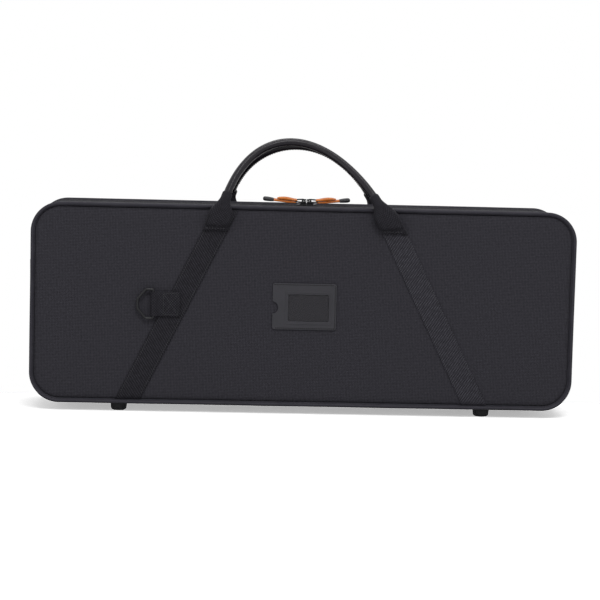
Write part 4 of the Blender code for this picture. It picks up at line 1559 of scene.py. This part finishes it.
@dataclass(frozen=True)
class CardHolder:
    """The card holder: a vinyl frame with a thumb notch, sewn on three sides over a clear sheet."""

    notch_radius: float = 0.0095
    notch_shift: float = 0.12
    corner: float = 0.003
    edge: float = 0.0004
    lip: float = 0.0042
    emboss_from_window: float = 0.0018
    emboss_width: float = 0.0014
    emboss_height: float = 0.0005
    stitch_from_edge: float = 0.0019
    window_margin: float = 0.003
    window_corner: float = 0.0015
    window_steps: int = 12
    window_bow: float = 0.00025

    def build(self) -> None:
        """Builds the frame, its embossed line, the window and the stitches."""
        low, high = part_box("card_frame")
        middle = Vector(((low.x + high.x) / 2, low.y, (low.z + high.z) / 2))
        width, height, thickness = high.x - low.x, high.z - low.z, high.y - low.y
        window_low, window_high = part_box("card_window")
        margin = self.window_margin
        hole = [
            (window_low.x + margin - middle.x, window_low.z + margin - middle.z),
            (window_high.x - margin - middle.x, window_high.z - margin - middle.z),
        ]
        outer = self.outline(width - 2 * self.edge, height - 2 * self.edge)
        inner = self.rectangle(hole, -self.edge)
        plate = self.plate("card_frame_vinyl", [outer, inner], middle + AWAY * thickness / 2, thickness / 2)
        dress(plate, CARD_VINYL, "base", "card_frame")
        grow = self.emboss_from_window
        line = [self.rectangle(hole, grow + self.emboss_width), self.rectangle(hole, grow)]
        raised = self.plate("card_frame_line", line, middle, self.emboss_height)
        dress(raised, CARD_VINYL, "base")
        self.build_window(window_low, window_high)
        self.build_stitches(middle + UP * self.lip / 2, width, height + self.lip)

    def outline(self, width: float, height: float) -> Flat:
        """The frame's outline, with the thumb notch at its left and a sewn lip along its top.

        Args:
            width: Width of the frame.
            height: Its height without the lip.

        Returns:
            The outline.
        """
        reach = math.degrees(math.acos(self.notch_shift))
        centre = (-width / 2 - self.notch_radius * self.notch_shift, 0)
        notch = arc(centre, self.notch_radius, reach, -reach, steps=16)
        corners = rounded_rectangle(width, height + self.lip, self.corner, steps=6)
        corners = [(x, z + self.lip / 2) for x, z in corners]
        half = len(corners) * 3 // 4
        return corners[:half] + notch + corners[half:]

    def rectangle(self, hole: Sequence[tuple[float, float]], grow: float) -> Flat:
        """A rounded rectangle round the window.

        Args:
            hole: Lower left and upper right corners of the window.
            grow: Distance that the rectangle keeps from it.

        Returns:
            The rectangle.
        """
        (x0, z0), (x1, z1) = hole
        flat = rounded_rectangle(x1 - x0 + 2 * grow, z1 - z0 + 2 * grow, self.window_corner, steps=4)
        return [(x + (x0 + x1) / 2, z + (z0 + z1) / 2) for x, z in flat]

    def plate(self, name: str, outlines: Sequence[Flat], middle: Vector, half: float) -> Piece:
        """Fills flat outlines as a sheet with rounded edges.

        Args:
            name: Name of the piece.
            outlines: The outer outline and any holes.
            middle: Middle of the sheet.
            half: Half of its thickness.

        Returns:
            The sheet.
        """
        curve = bpy.data.curves.new(name, "CURVE")
        curve.dimensions = "2D"
        curve.fill_mode = "BOTH"
        curve.bevel_depth = min(self.edge, 0.6 * half)
        curve.bevel_resolution = 3
        curve.extrude = half - curve.bevel_depth
        for outline in outlines:
            spline = curve.splines.new("POLY")
            spline.points.add(len(outline) - 1)
            for point, (x, z) in zip(spline.points, outline):
                point.co = (x, z, 0, 1)
            spline.use_cyclic_u = True
        drawn = bpy.data.objects.new(name, curve)
        bpy.context.scene.collection.objects.link(drawn)
        drawn.matrix_world = Euler((math.pi / 2, 0, 0)).to_matrix().to_4x4()
        drawn.location = middle
        bpy.context.view_layer.update()
        mesh = bpy.data.meshes.new_from_object(drawn.evaluated_get(bpy.context.evaluated_depsgraph_get()))
        mesh.transform(drawn.matrix_world)
        bpy.data.objects.remove(drawn)
        bpy.data.curves.remove(curve)
        mesh.name = name
        return box_map(show(name, mesh))

    def build_window(self, low: Vector, high: Vector) -> Piece:
        """Builds the clear sheet, a little bowed.

        Args:
            low: Lowest corner of its box.
            high: Highest corner.

        Returns:
            The sheet.
        """
        steps = self.window_steps
        rings = []
        for i in range(steps + 1):
            x = low.x + (high.x - low.x) * i / steps
            front, back = [], []
            for j in range(steps + 1):
                z = low.z + (high.z - low.z) * j / steps
                bow = self.window_bow * math.sin(math.pi * i / steps) * math.sin(math.pi * j / steps)
                front.append(Vector((x, low.y - bow, z)))
                back.append(Vector((x, high.y - bow, z)))
            rings.append(front + back[::-1])
        return dress(Skin().loft(rings).piece("card_window_sheet"), CLEAR_VINYL, "base", "card_window")

    def build_stitches(self, middle: Vector, width: float, height: float) -> Piece:
        """Sews the frame down along its top, right and bottom.

        Args:
            middle: Middle of the sewn frame.
            width: Width of the frame.
            height: Its height, with the lip.

        Returns:
            The stitches.
        """
        x, z = width / 2 - self.stitch_from_edge, height / 2 - self.stitch_from_edge
        corners = [(-x, z), (x, z), (x, -z), (-x, -z)]
        skin = Skin()
        for (x0, z0), (x1, z1) in zip(corners, corners[1:]):
            ends = (middle + ALONG * x0 + UP * z0, middle + ALONG * x1 + UP * z1)
            Seam(pitch=0.0030, stitch=0.0024, gauge=0.0005).sew(skin, [(end, -AWAY) for end in ends])
        return dress(skin.piece("card_frame_stitches"), DARK_THREAD, "base")


@dataclass(frozen=True)
class RingTab:
    """A D-ring of bent rod, in a tab of folded webbing that is sewn to the strap."""

    side: Side
    body: str
    ring_body: str
    side_name: str
    rod_radius: float = 0.002
    corner: float = 0.0028
    straight: float = 0.011
    tip: float = 0.014
    webbing: float = 0.0016
    clearance: float = 0.0003
    stitch_from_side: float = 0.0024
    stitch_from_end: float = 0.0026
    stitch_from_ring: float = 4.6

    def build(self) -> None:
        """Builds the ring, the tab and its stitches."""
        low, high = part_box(f"{self.side_name}_d_ring")
        outward = ALONG * self.side.value
        half = (high.z - low.z) / 2 - self.rod_radius
        reach = high.x - low.x - 2 * self.rod_radius
        bar = (low + high) / 2 - outward * reach / 2
        corners = [(0, -half), (self.straight, -half), (reach, -self.tip / 2)]
        corners += [(x, -z) for x, z in reversed(corners)]
        path = place(rounded_polygon(corners, self.corner, steps=6), bar, outward, UP)
        rings = sweep(path, circle(self.rod_radius, sides=16), AWAY, closed=True)
        loop = Skin().loft(rings, closed=True).piece(f"{self.side_name}_d_ring_rod")
        dress(loop, LACQUERED_ZINC, self.ring_body, f"{self.side_name}_d_ring")
        self.build_tab(bar, outward)

    def build_tab(self, bar: Vector, outward: Vector) -> Piece:
        """Builds the folded tab and the stitches that hold it.

        Args:
            bar: Middle of the ring's bar.
            outward: Direction from the tab to the ring.

        Returns:
            The tab.
        """
        node = f"{self.side_name}_ring_tab"
        low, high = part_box(node)
        out = AWAY * self.side.value
        length = high.x - low.x - self.rod_radius - self.clearance - self.webbing
        turn = self.rod_radius + self.clearance + self.webbing / 2
        lower = -turn
        upper = lower + self.webbing + self.clearance
        # The upper layer to its bulge over the bar, the turn round the bar, and the lower layer.
        flat = [(length - 0.1 * MM, upper), (length * 0.6, upper), (3.4 * turn, upper)]
        flat += [(2.6 * turn, upper + 0.3 * MM), (1.2 * turn, upper + 0.66 * (turn - upper))]
        flat += [(0.5 * turn, turn * 0.97), *arc((0, 0), turn, 90, 270, steps=12)]
        flat += [(2.5 * turn, lower), (length * 0.6, lower), (length, lower)]
        path = [bar - outward * x + out * y for x, y in flat]
        radius = self.webbing * 0.35
        section = rounded_rectangle(high.z - low.z, self.webbing * 0.96, radius, steps=3)
        rings = []
        for i, point in enumerate(path):
            run = (path[min(i + 1, len(path) - 1)] - path[max(i - 1, 0)]).normalized()
            rings.append(place(section, point, UP, UP.cross(run)))
        piece = dress(Skin().loft(rings).piece(f"{node}_webbing", sharp=50), WEBBING, self.body, node)
        skin = Skin()
        face = upper + self.webbing / 2
        half = (high.z - low.z) / 2 - self.stitch_from_side
        near, far = self.stitch_from_ring * turn, length - self.stitch_from_end
        corners = [(near, -half), (near, half), (far, half), (far, -half), (near, -half), (far, half)]
        corners += [(far, -half), (near, half)]
        for (x0, z0), (x1, z1) in zip(corners, corners[1:]):
            ends = [bar - outward * x + UP * z + out * face for x, z in ((x0, z0), (x1, z1))]
            Seam(pitch=0.0028, stitch=0.0021).sew(skin, [(end, out) for end in ends])
        dress(skin.piece(f"{node}_stitches"), THREAD, self.body)
        return piece


@dataclass(frozen=True)
class ZipPull:
    """A zip slider with its pull: a wire loop, a doubled leather tab and a moulded end cap."""

    end: End
    wire_radius: float = 0.0009
    wire_swell: float = 0.0002
    loop_corner: float = 0.0034
    tab_width: float = 0.009
    tab_length: float = 0.039
    tab_slope: float = 0.10
    tab_lean: float = 0.22
    loop_lean: float = 0.38
    leather: float = 0.0025
    fold_leather: float = 0.0011
    flap: float = 0.028
    flap_swell: float = 0.0027
    flap_gap: float = 0.0011
    flap_lift: float = 0.0004
    flap_edge: float = 0.6
    cap_length: float = 0.016
    cap_grip: float = 0.006
    cap_wall: float = 0.0013
    cap_nose: float = 0.0048
    cap_mouth: float = 0.80
    nose_power: float = 0.6
    nose_degrees: float = 86.0
    clearance: float = 0.0003
    trim: float = 0.5
    trim_share: float = 0.18
    taper: float = 0.7
    taper_from: float = 0.8
    full_from: float = 0.28
    flap_shares: tuple[float, ...] = (0, 0.03, 0.07, 0.12, 0.18, 0.27, 0.38, 0.5, 0.62, 0.74, 0.85, 0.94)
    tab_shares: tuple[float, ...] = (0.08, 0.16, 0.28, 0.5, 0.8, 0.9, 1.0)
    slider_edge: float = 0.0003

    @property
    def name(self) -> str:
        """The end's name in node and body names."""
        return self.end.name.lower()

    @property
    def out(self) -> Vector:
        """Direction from the slider to the pull's free end."""
        return ALONG * self.end.value

    @property
    def run(self) -> Vector:
        """Direction along the tab, which slopes up to its free end."""
        return (self.out + UP * self.tab_slope).normalized()

    @property
    def across(self) -> Vector:
        """Direction across the pull, which hangs a little over to the front."""
        return (AWAY + UP * self.tab_lean).normalized()

    @property
    def rise(self) -> Vector:
        """Direction through the tab."""
        return self.run.cross(self.across).normalized() * self.end.value

    @property
    def turn(self) -> float:
        """Radius of the fold, at the middle of the thinned leather."""
        return self.wire_radius + self.clearance + self.fold_leather / 2

    @property
    def seat(self) -> float:
        """Level of the lower layer's top, measured from the loop's bar."""
        return self.fold_leather / 2 - self.turn

    def build(self) -> None:
        """Builds the pull and dresses the slider."""
        dress_node(f"zip_slider_{self.name}", LACQUERED_ZINC, self.slider_edge)
        low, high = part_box(f"pull_loop_{self.name}")
        middle = (low + high) / 2
        half = (high.y - low.y) / 2 - self.wire_radius
        length = high.x - low.x - 2 * self.wire_radius
        pin = middle - self.out * length / 2
        corners = [(0, -half), (length, -half), (length, half), (0, half)]
        path = []
        for x, y in rounded_polygon(corners, self.loop_corner, steps=6):
            lean = self.loop_lean + (self.tab_lean - self.loop_lean) * x / length
            path.append(pin + self.out * x + (AWAY + UP * lean).normalized() * y)
        rings = sweep(path, circle(self.wire_radius + self.wire_swell, sides=12), UP, closed=True)
        loop = Skin().loft(rings, closed=True).piece(f"pull_loop_{self.name}_wire")
        dress(loop, LACQUERED_ZINC, f"pull_{self.name}", f"pull_loop_{self.name}")
        bar = pin + self.out * length
        self.build_tab(bar)
        self.build_cap(bar)

    def build_tab(self, bar: Vector) -> Piece:
        """Builds the leather tab, folded round the loop with its short flap on top.

        Args:
            bar: Middle of the loop's far bar.

        Returns:
            The tab.
        """
        turn, thin = self.turn, self.fold_leather
        flat = []
        for share in self.flap_shares:
            near = max(0, share - 0.5) * 2
            gap = self.flap_gap + self.flap_lift * (1 - share) ** 2
            under = self.seat + gap + (turn - thin / 2 - self.seat - gap) * near**2
            thick = thin * self.flap_edge + self.flap_swell * math.sin(math.pi * share)
            trim = 1 - self.trim * (1 - min(1, share / self.trim_share)) ** 2
            flat.append((self.flap * (1 - share), under + thick / 2, thick, trim))
        flat += [(x, z, thin, 1) for x, z in arc((0, 0), turn, 100, 270, steps=14)]
        for share in self.tab_shares:
            thick = thin + (self.leather - thin) * min(1, share / self.full_from)
            trim = 1 - self.taper * max(0, share - self.taper_from)
            flat.append((self.tab_length * share, self.seat - thick / 2, thick, trim))
        path = [bar + self.run * x + self.rise * z for x, z, _, _ in flat]
        rings = []
        for i, (point, (_, _, thick, trim)) in enumerate(zip(path, flat)):
            ahead = (path[min(i + 1, len(path) - 1)] - path[max(i - 1, 0)]).normalized()
            section = rounded_rectangle(self.tab_width * trim, thick, radius=thick * 0.3, steps=4)
            rings.append(place(section, point, self.across, self.across.cross(ahead)))
        piece = Skin().loft(rings).piece(f"pull_tab_{self.name}_leather", sharp=50)
        return dress(piece, ORANGE_LEATHER, f"pull_{self.name}", f"pull_tab_{self.name}")

    def build_cap(self, bar: Vector) -> Piece:
        """Builds the end cap, a blunt bulb that narrows to its mouth.

        Args:
            bar: Middle of the loop's far bar.

        Returns:
            The cap.
        """
        mouth = bar + self.run * (self.tab_length - self.cap_grip)
        mouth += self.rise * (self.seat - self.leather / 2)
        wall = self.clearance + self.cap_wall
        half_width, half_height = self.tab_width / 2 + wall, self.leather / 2 + wall
        body = self.cap_length - self.cap_nose
        profile = [(0.4 * MM, 0.70), (0.0, 0.76), (0.5 * MM, self.cap_mouth)]
        for share in (0.2, 0.4, 0.6, 0.8):
            swell = (1 - self.cap_mouth) * math.sin(math.pi / 2 * share)
            profile.append((body * share, self.cap_mouth + swell))
        nose = arc((0, 0), 1, 0, self.nose_degrees, steps=12)
        profile += [(body + self.cap_nose * sin, cos**self.nose_power) for cos, sin in nose]
        rings = []
        for step, share in profile:
            section = superellipse(half_width * share, half_height * share, power=2.8, sides=28)
            rings.append(place(section, mouth + self.run * step, self.across, self.rise))
        piece = Skin().loft(rings).piece(f"pull_cap_{self.name}_moulding", sharp=60)
        return dress(piece, MOULDED_PLASTIC, f"pull_{self.name}", f"pull_cap_{self.name}")


@dataclass(frozen=True)
class Foam:
    """A foam piece under velour: remeshed from its CAD solid, swollen as cloth and held to a cap."""

    node: str
    body: str
    finish: Finish
    voxel: float
    cap: float
    shrink: float
    pressure: float = 4.0
    frames: int = 20
    fill: float = 0.7
    smoothings: int = 4

    def build(self, held: Callable[[Vector], bool]) -> Piece:
        """Builds the piece.

        Args:
            held: Says whether a point lies on what carries the foam, where it stays flat.

        Returns:
            The padded piece.
        """
        piece = self.remesh()
        self.swell(piece, held)
        dress(piece, self.finish, self.body, self.node)
        return piece

    def remesh(self) -> Piece:
        """Remeshes a copy of the CAD solid, rounds its edges and draws it in.

        Returns:
            The piece.
        """
        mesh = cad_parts[self.node].data.copy()
        piece = show(f"{self.node}_foam", mesh, sharp=180)
        remesh = piece.modifiers.new("remesh", "REMESH")
        remesh.mode = "VOXEL"
        remesh.voxel_size = self.voxel
        bpy.context.view_layer.update()
        whole = piece.evaluated_get(bpy.context.evaluated_depsgraph_get())
        made = bpy.data.meshes.new_from_object(whole)
        piece.modifiers.clear()
        piece.data = made
        bpy.data.meshes.remove(mesh)
        shape = bmesh.new()
        shape.from_mesh(made)
        for _ in range(self.smoothings):
            bmesh.ops.smooth_vert(
                shape, verts=shape.verts, factor=0.5, use_axis_x=True, use_axis_y=True, use_axis_z=True
            )
        shape.normal_update()
        for vertex in shape.verts:
            vertex.co -= vertex.normal * self.shrink
        shape.to_mesh(made)
        shape.free()
        made.shade_smooth()
        return piece

    def swell(self, piece: Piece, held: Callable[[Vector], bool]) -> None:
        """Swells the piece as cloth under pressure, and caps how far each point moves.

        Args:
            piece: The remeshed piece.
            held: Says whether a point stays where it is.
        """
        rest = [vertex.co.copy() for vertex in piece.data.vertices]
        pinned = piece.vertex_groups.new(name="held")
        pinned.add([i for i, co in enumerate(rest) if held(co)], 1.0, "REPLACE")
        cloth = piece.modifiers.new("cloth", "CLOTH")
        cloth.settings.quality = 4
        cloth.settings.use_pressure = True
        cloth.settings.uniform_pressure_force = self.pressure
        cloth.settings.effector_weights.gravity = 0
        cloth.settings.vertex_group_mass = "held"
        cloth.point_cache.frame_start = 1
        cloth.point_cache.frame_end = self.frames
        scene = bpy.context.scene
        for step in range(1, self.frames + 1):
            scene.frame_set(step)
        swollen = piece.evaluated_get(bpy.context.evaluated_depsgraph_get()).data
        moved = [vertex.co.copy() for vertex in swollen.vertices]
        piece.modifiers.clear()
        piece.vertex_groups.clear()
        for vertex, start, end in zip(piece.data.vertices, rest, moved):
            shift = end - start
            vertex.co = start + shift * min(1, self.cap / max(shift.length, TINY))
        piece.data.update()
        scene.frame_set(1)


@dataclass(frozen=True)
class Inside:
    """What the case holds: fitted cushion, pads, neck rest, lid lining and bow fittings."""

    elastic: float = 0.0015
    held_cushion: float = 0.004
    held_pad: float = 0.002
    held_cradle: float = 0.003
    plastic_edge: float = 0.0006
    strap_bow: float = 0.0006
    strap_steps: int = 24

    def build(self) -> None:
        """Builds every piece inside the case."""
        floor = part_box("base_cushion")[0].y + self.held_cushion
        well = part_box("lower_pad")[0].y + self.held_pad
        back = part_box("lid_lining")[1].y - self.held_cushion
        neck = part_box("neck_cradle")[0].y + self.held_cradle
        cushion = Foam("base_cushion", "base", VELOUR, voxel=0.005, cap=0.002, shrink=0.0012)
        cushion.build(lambda co: co.y < floor)
        for node in ("lower_pad", "upper_pad"):
            pad = Foam(node, "base", VELOUR, voxel=0.003, cap=0.004, shrink=0.001)
            pad.build(lambda co: co.y < well)
        cradle = Foam("neck_cradle", "base", VELOUR, voxel=0.003, cap=0.0012, shrink=0.001)
        cradle.build(lambda co: co.y < neck)
        lining = Foam("lid_lining", "lid", LINING_VELOUR, voxel=0.005, cap=0.002, shrink=0.0012)
        lining.build(lambda co: co.y > back)
        self.build_neck_strap()
        for level in ("upper", "lower"):
            dress_node(f"bow_clip_{level}", MOULDED_PLASTIC, self.plastic_edge)
            dress_node(f"bow_spinner_{level}", MOULDED_PLASTIC, self.plastic_edge)
            self.build_bow_loop(level)

    def build_neck_strap(self) -> Piece:
        """Builds the strap over the violin's neck, with a slight bow.

        Returns:
            The strap.
        """
        low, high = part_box("neck_strap")
        middle = (low + high) / 2
        path = []
        for step in range(self.strap_steps + 1):
            share = step / self.strap_steps
            z = low.z + (high.z - low.z) * share
            path.append(Vector((middle.x, middle.y + self.strap_bow * math.sin(math.pi * share), z)))
        section = rounded_rectangle(high.x - low.x, (high.y - low.y) * 0.9, radius=0.5 * MM, steps=3)
        rings = sweep(path, section, AWAY)
        return dress(Skin().loft(rings).piece("neck_strap_webbing"), WEBBING, "base", "neck_strap")

    def build_bow_loop(self, level: str) -> Piece:
        """Builds an elastic loop for a bow's tip.

        Args:
            level: Which of the two bows it holds.

        Returns:
            The loop.
        """
        node = f"bow_loop_{level}"
        low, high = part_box(node)
        middle_x, middle_z = (low.x + high.x) / 2, (low.z + high.z) / 2
        half, rise = (high.z - low.z - self.elastic) / 2, high.y - low.y - self.elastic / 2
        half_turn = arc((0, 0), 1, 0, 180, steps=28)
        path = [Vector((middle_x, high.y - rise * sin, middle_z + half * cos)) for cos, sin in half_turn]
        section = rounded_rectangle(high.x - low.x, self.elastic, radius=self.elastic * 0.3, steps=3)
        rings = []
        for i, point in enumerate(path):
            run = (path[min(i + 1, len(path) - 1)] - path[max(i - 1, 0)]).normalized()
            rings.append(place(section, point, ALONG, ALONG.cross(run)))
        return dress(Skin().loft(rings).piece(f"{node}_elastic", sharp=50), WEBBING, "lid", node)


@dataclass(frozen=True)
class Lamp:
    """A soft box."""

    name: str
    place: tuple[float, float, float]
    size: tuple[float, float]
    power: float


@dataclass(frozen=True)
class Studio:
    """Camera, pale floor and plain soft light."""

    camera_place: tuple[float, float, float] = (-0.1313, -2.8763, 0.4295)
    pitch: float = 5.312
    yaw: float = -2.565
    roll: float = 1.418
    lens: float = 116.4
    ambient: float = 0.42
    floor_size: float = 12.0
    floor_cover: float = 0.75
    floor_probe: float = 0.3
    floor_back: float = 0.1
    lamps: tuple[Lamp, ...] = (
        Lamp("key", place=(0.2, -2.3, 2.6), size=(2.0, 1.2), power=54.0),
        Lamp("fill", place=(-2.2, -2.0, 1.2), size=(1.6, 1.6), power=8.0),
        Lamp("top", place=(0.2, 0.1, 2.4), size=(2.4, 0.3), power=15.0),
    )
    aim: tuple[float, float, float] = (0.0, 0.0, 0.2)

    def build(self) -> None:
        """Sets the view, camera, floor, world and lamps."""
        bpy.context.scene.view_settings.view_transform = "Standard"
        self.build_camera()
        self.build_floor()
        self.build_world()
        for lamp in self.lamps:
            self.build_lamp(lamp)

    def build_camera(self) -> None:
        """Places the camera at the photograph's viewing angle."""
        data = bpy.data.cameras.new("camera")
        data.lens = self.lens
        camera = bpy.data.objects.new("camera", data)
        bpy.context.scene.collection.objects.link(camera)
        camera.location = self.camera_place
        turn = Euler((math.radians(90 - self.pitch), 0, math.radians(self.yaw))).to_quaternion()
        camera.rotation_mode = "QUATERNION"
        camera.rotation_quaternion = turn @ Quaternion((0, 0, 1), math.radians(self.roll))
        bpy.context.scene.camera = camera

    def build_floor(self) -> None:
        """Lays a pale floor that takes the case's shadow, and ends or opens where the lid swings past it."""
        half = self.floor_size / 2
        mesh = bpy.data.meshes.new("floor")
        back = self.floor_back
        corners = [(-half, -half, 0), (half, -half, 0), (half, back, 0), (-half, back, 0)]
        mesh.from_pydata(corners, [], [(0, 1, 2, 3)])
        floor = bpy.data.objects.new("floor", mesh)
        bpy.context.scene.collection.objects.link(floor)
        paint = bpy.data.materials.new("pale_floor")
        paint.use_nodes = True
        shader = paint.node_tree.nodes["Principled BSDF"]
        shader.inputs["Base Color"].default_value = linear("f4f4f4")
        shader.inputs["Roughness"].default_value = 0.9
        below = add_node(
            paint.node_tree,
            "ShaderNodeAmbientOcclusion",
            None,
            {"Distance": self.floor_probe},
            inside=True,
            samples=4,
        )
        cover = add_node(
            paint.node_tree,
            "ShaderNodeMapRange",
            {"Value": below.outputs["AO"]},
            {"From Min": 0.9, "From Max": 0.99, "To Max": self.floor_cover},
        )
        paint.node_tree.links.new(cover.outputs["Result"], shader.inputs["Alpha"])
        mesh.materials.append(paint)
        floor.is_shadow_catcher = True

    def build_world(self) -> None:
        """Makes a white ground for the eye and for reflections, with a plain level of light on all else."""
        world = bpy.data.worlds.new("studio")
        bpy.context.scene.world = world
        world.use_nodes = True
        tree = world.node_tree
        tree.nodes.clear()
        path = add_node(tree, "ShaderNodeLightPath")
        seen = path.outputs["Is Camera Ray"]
        for ray in ("Is Glossy Ray", "Is Transmission Ray"):
            links = {0: seen, 1: path.outputs[ray]}
            seen = add_node(tree, "ShaderNodeMath", links, operation="MAXIMUM").outputs[0]
        white = linear("ffffff")
        light = add_node(tree, "ShaderNodeBackground", None, {"Color": white, "Strength": self.ambient})
        ground = add_node(tree, "ShaderNodeBackground", None, {"Color": white, "Strength": 1.0})
        links = {0: seen, 1: light.outputs[0], 2: ground.outputs[0]}
        both = add_node(tree, "ShaderNodeMixShader", links)
        add_node(tree, "ShaderNodeOutputWorld", {"Surface": both.outputs[0]})

    def build_lamp(self, lamp: Lamp) -> None:
        """Hangs a soft box that faces the middle of the case.

        Args:
            lamp: The soft box.
        """
        data = bpy.data.lights.new(lamp.name, "AREA")
        data.shape = "RECTANGLE"
        data.size, data.size_y = lamp.size
        data.energy = lamp.power
        light = bpy.data.objects.new(lamp.name, data)
        bpy.context.scene.collection.objects.link(light)
        light.location = lamp.place
        aim = Vector(self.aim) - Vector(lamp.place)
        light.rotation_mode = "QUATERNION"
        light.rotation_quaternion = aim.to_track_quat("-Z", "Y")


def main() -> None:
    """Builds the studio and every sub-assembly in order."""
    logging.basicConfig(level=logging.INFO, format="%(name)s: %(message)s")
    Studio().build()
    form, strap = CaseForm.from_frame(), StrapForm()
    sways = {Side.FRONT: 0.0206, Side.BACK: 0.012}
    inwards = {Side.FRONT: 0.0, Side.BACK: 0.008}
    for side, body, name in ((Side.FRONT, "base", "front"), (Side.BACK, "lid", "back")):
        CaseHalf(form, side, body, name).build()
        Straps(form, strap, side, body, name).build()
        Handle(form, strap, side, f"{name}_handle", name, sways[side], inwards[side]).build()
        RingTab(side, body, f"{name}_ring", name).build()
    HingeStrip(form).build()
    CardHolder().build()
    for end in End:
        ZipPull(end).build()
    Inside().build()


if __name__ == "__main__":
    main()
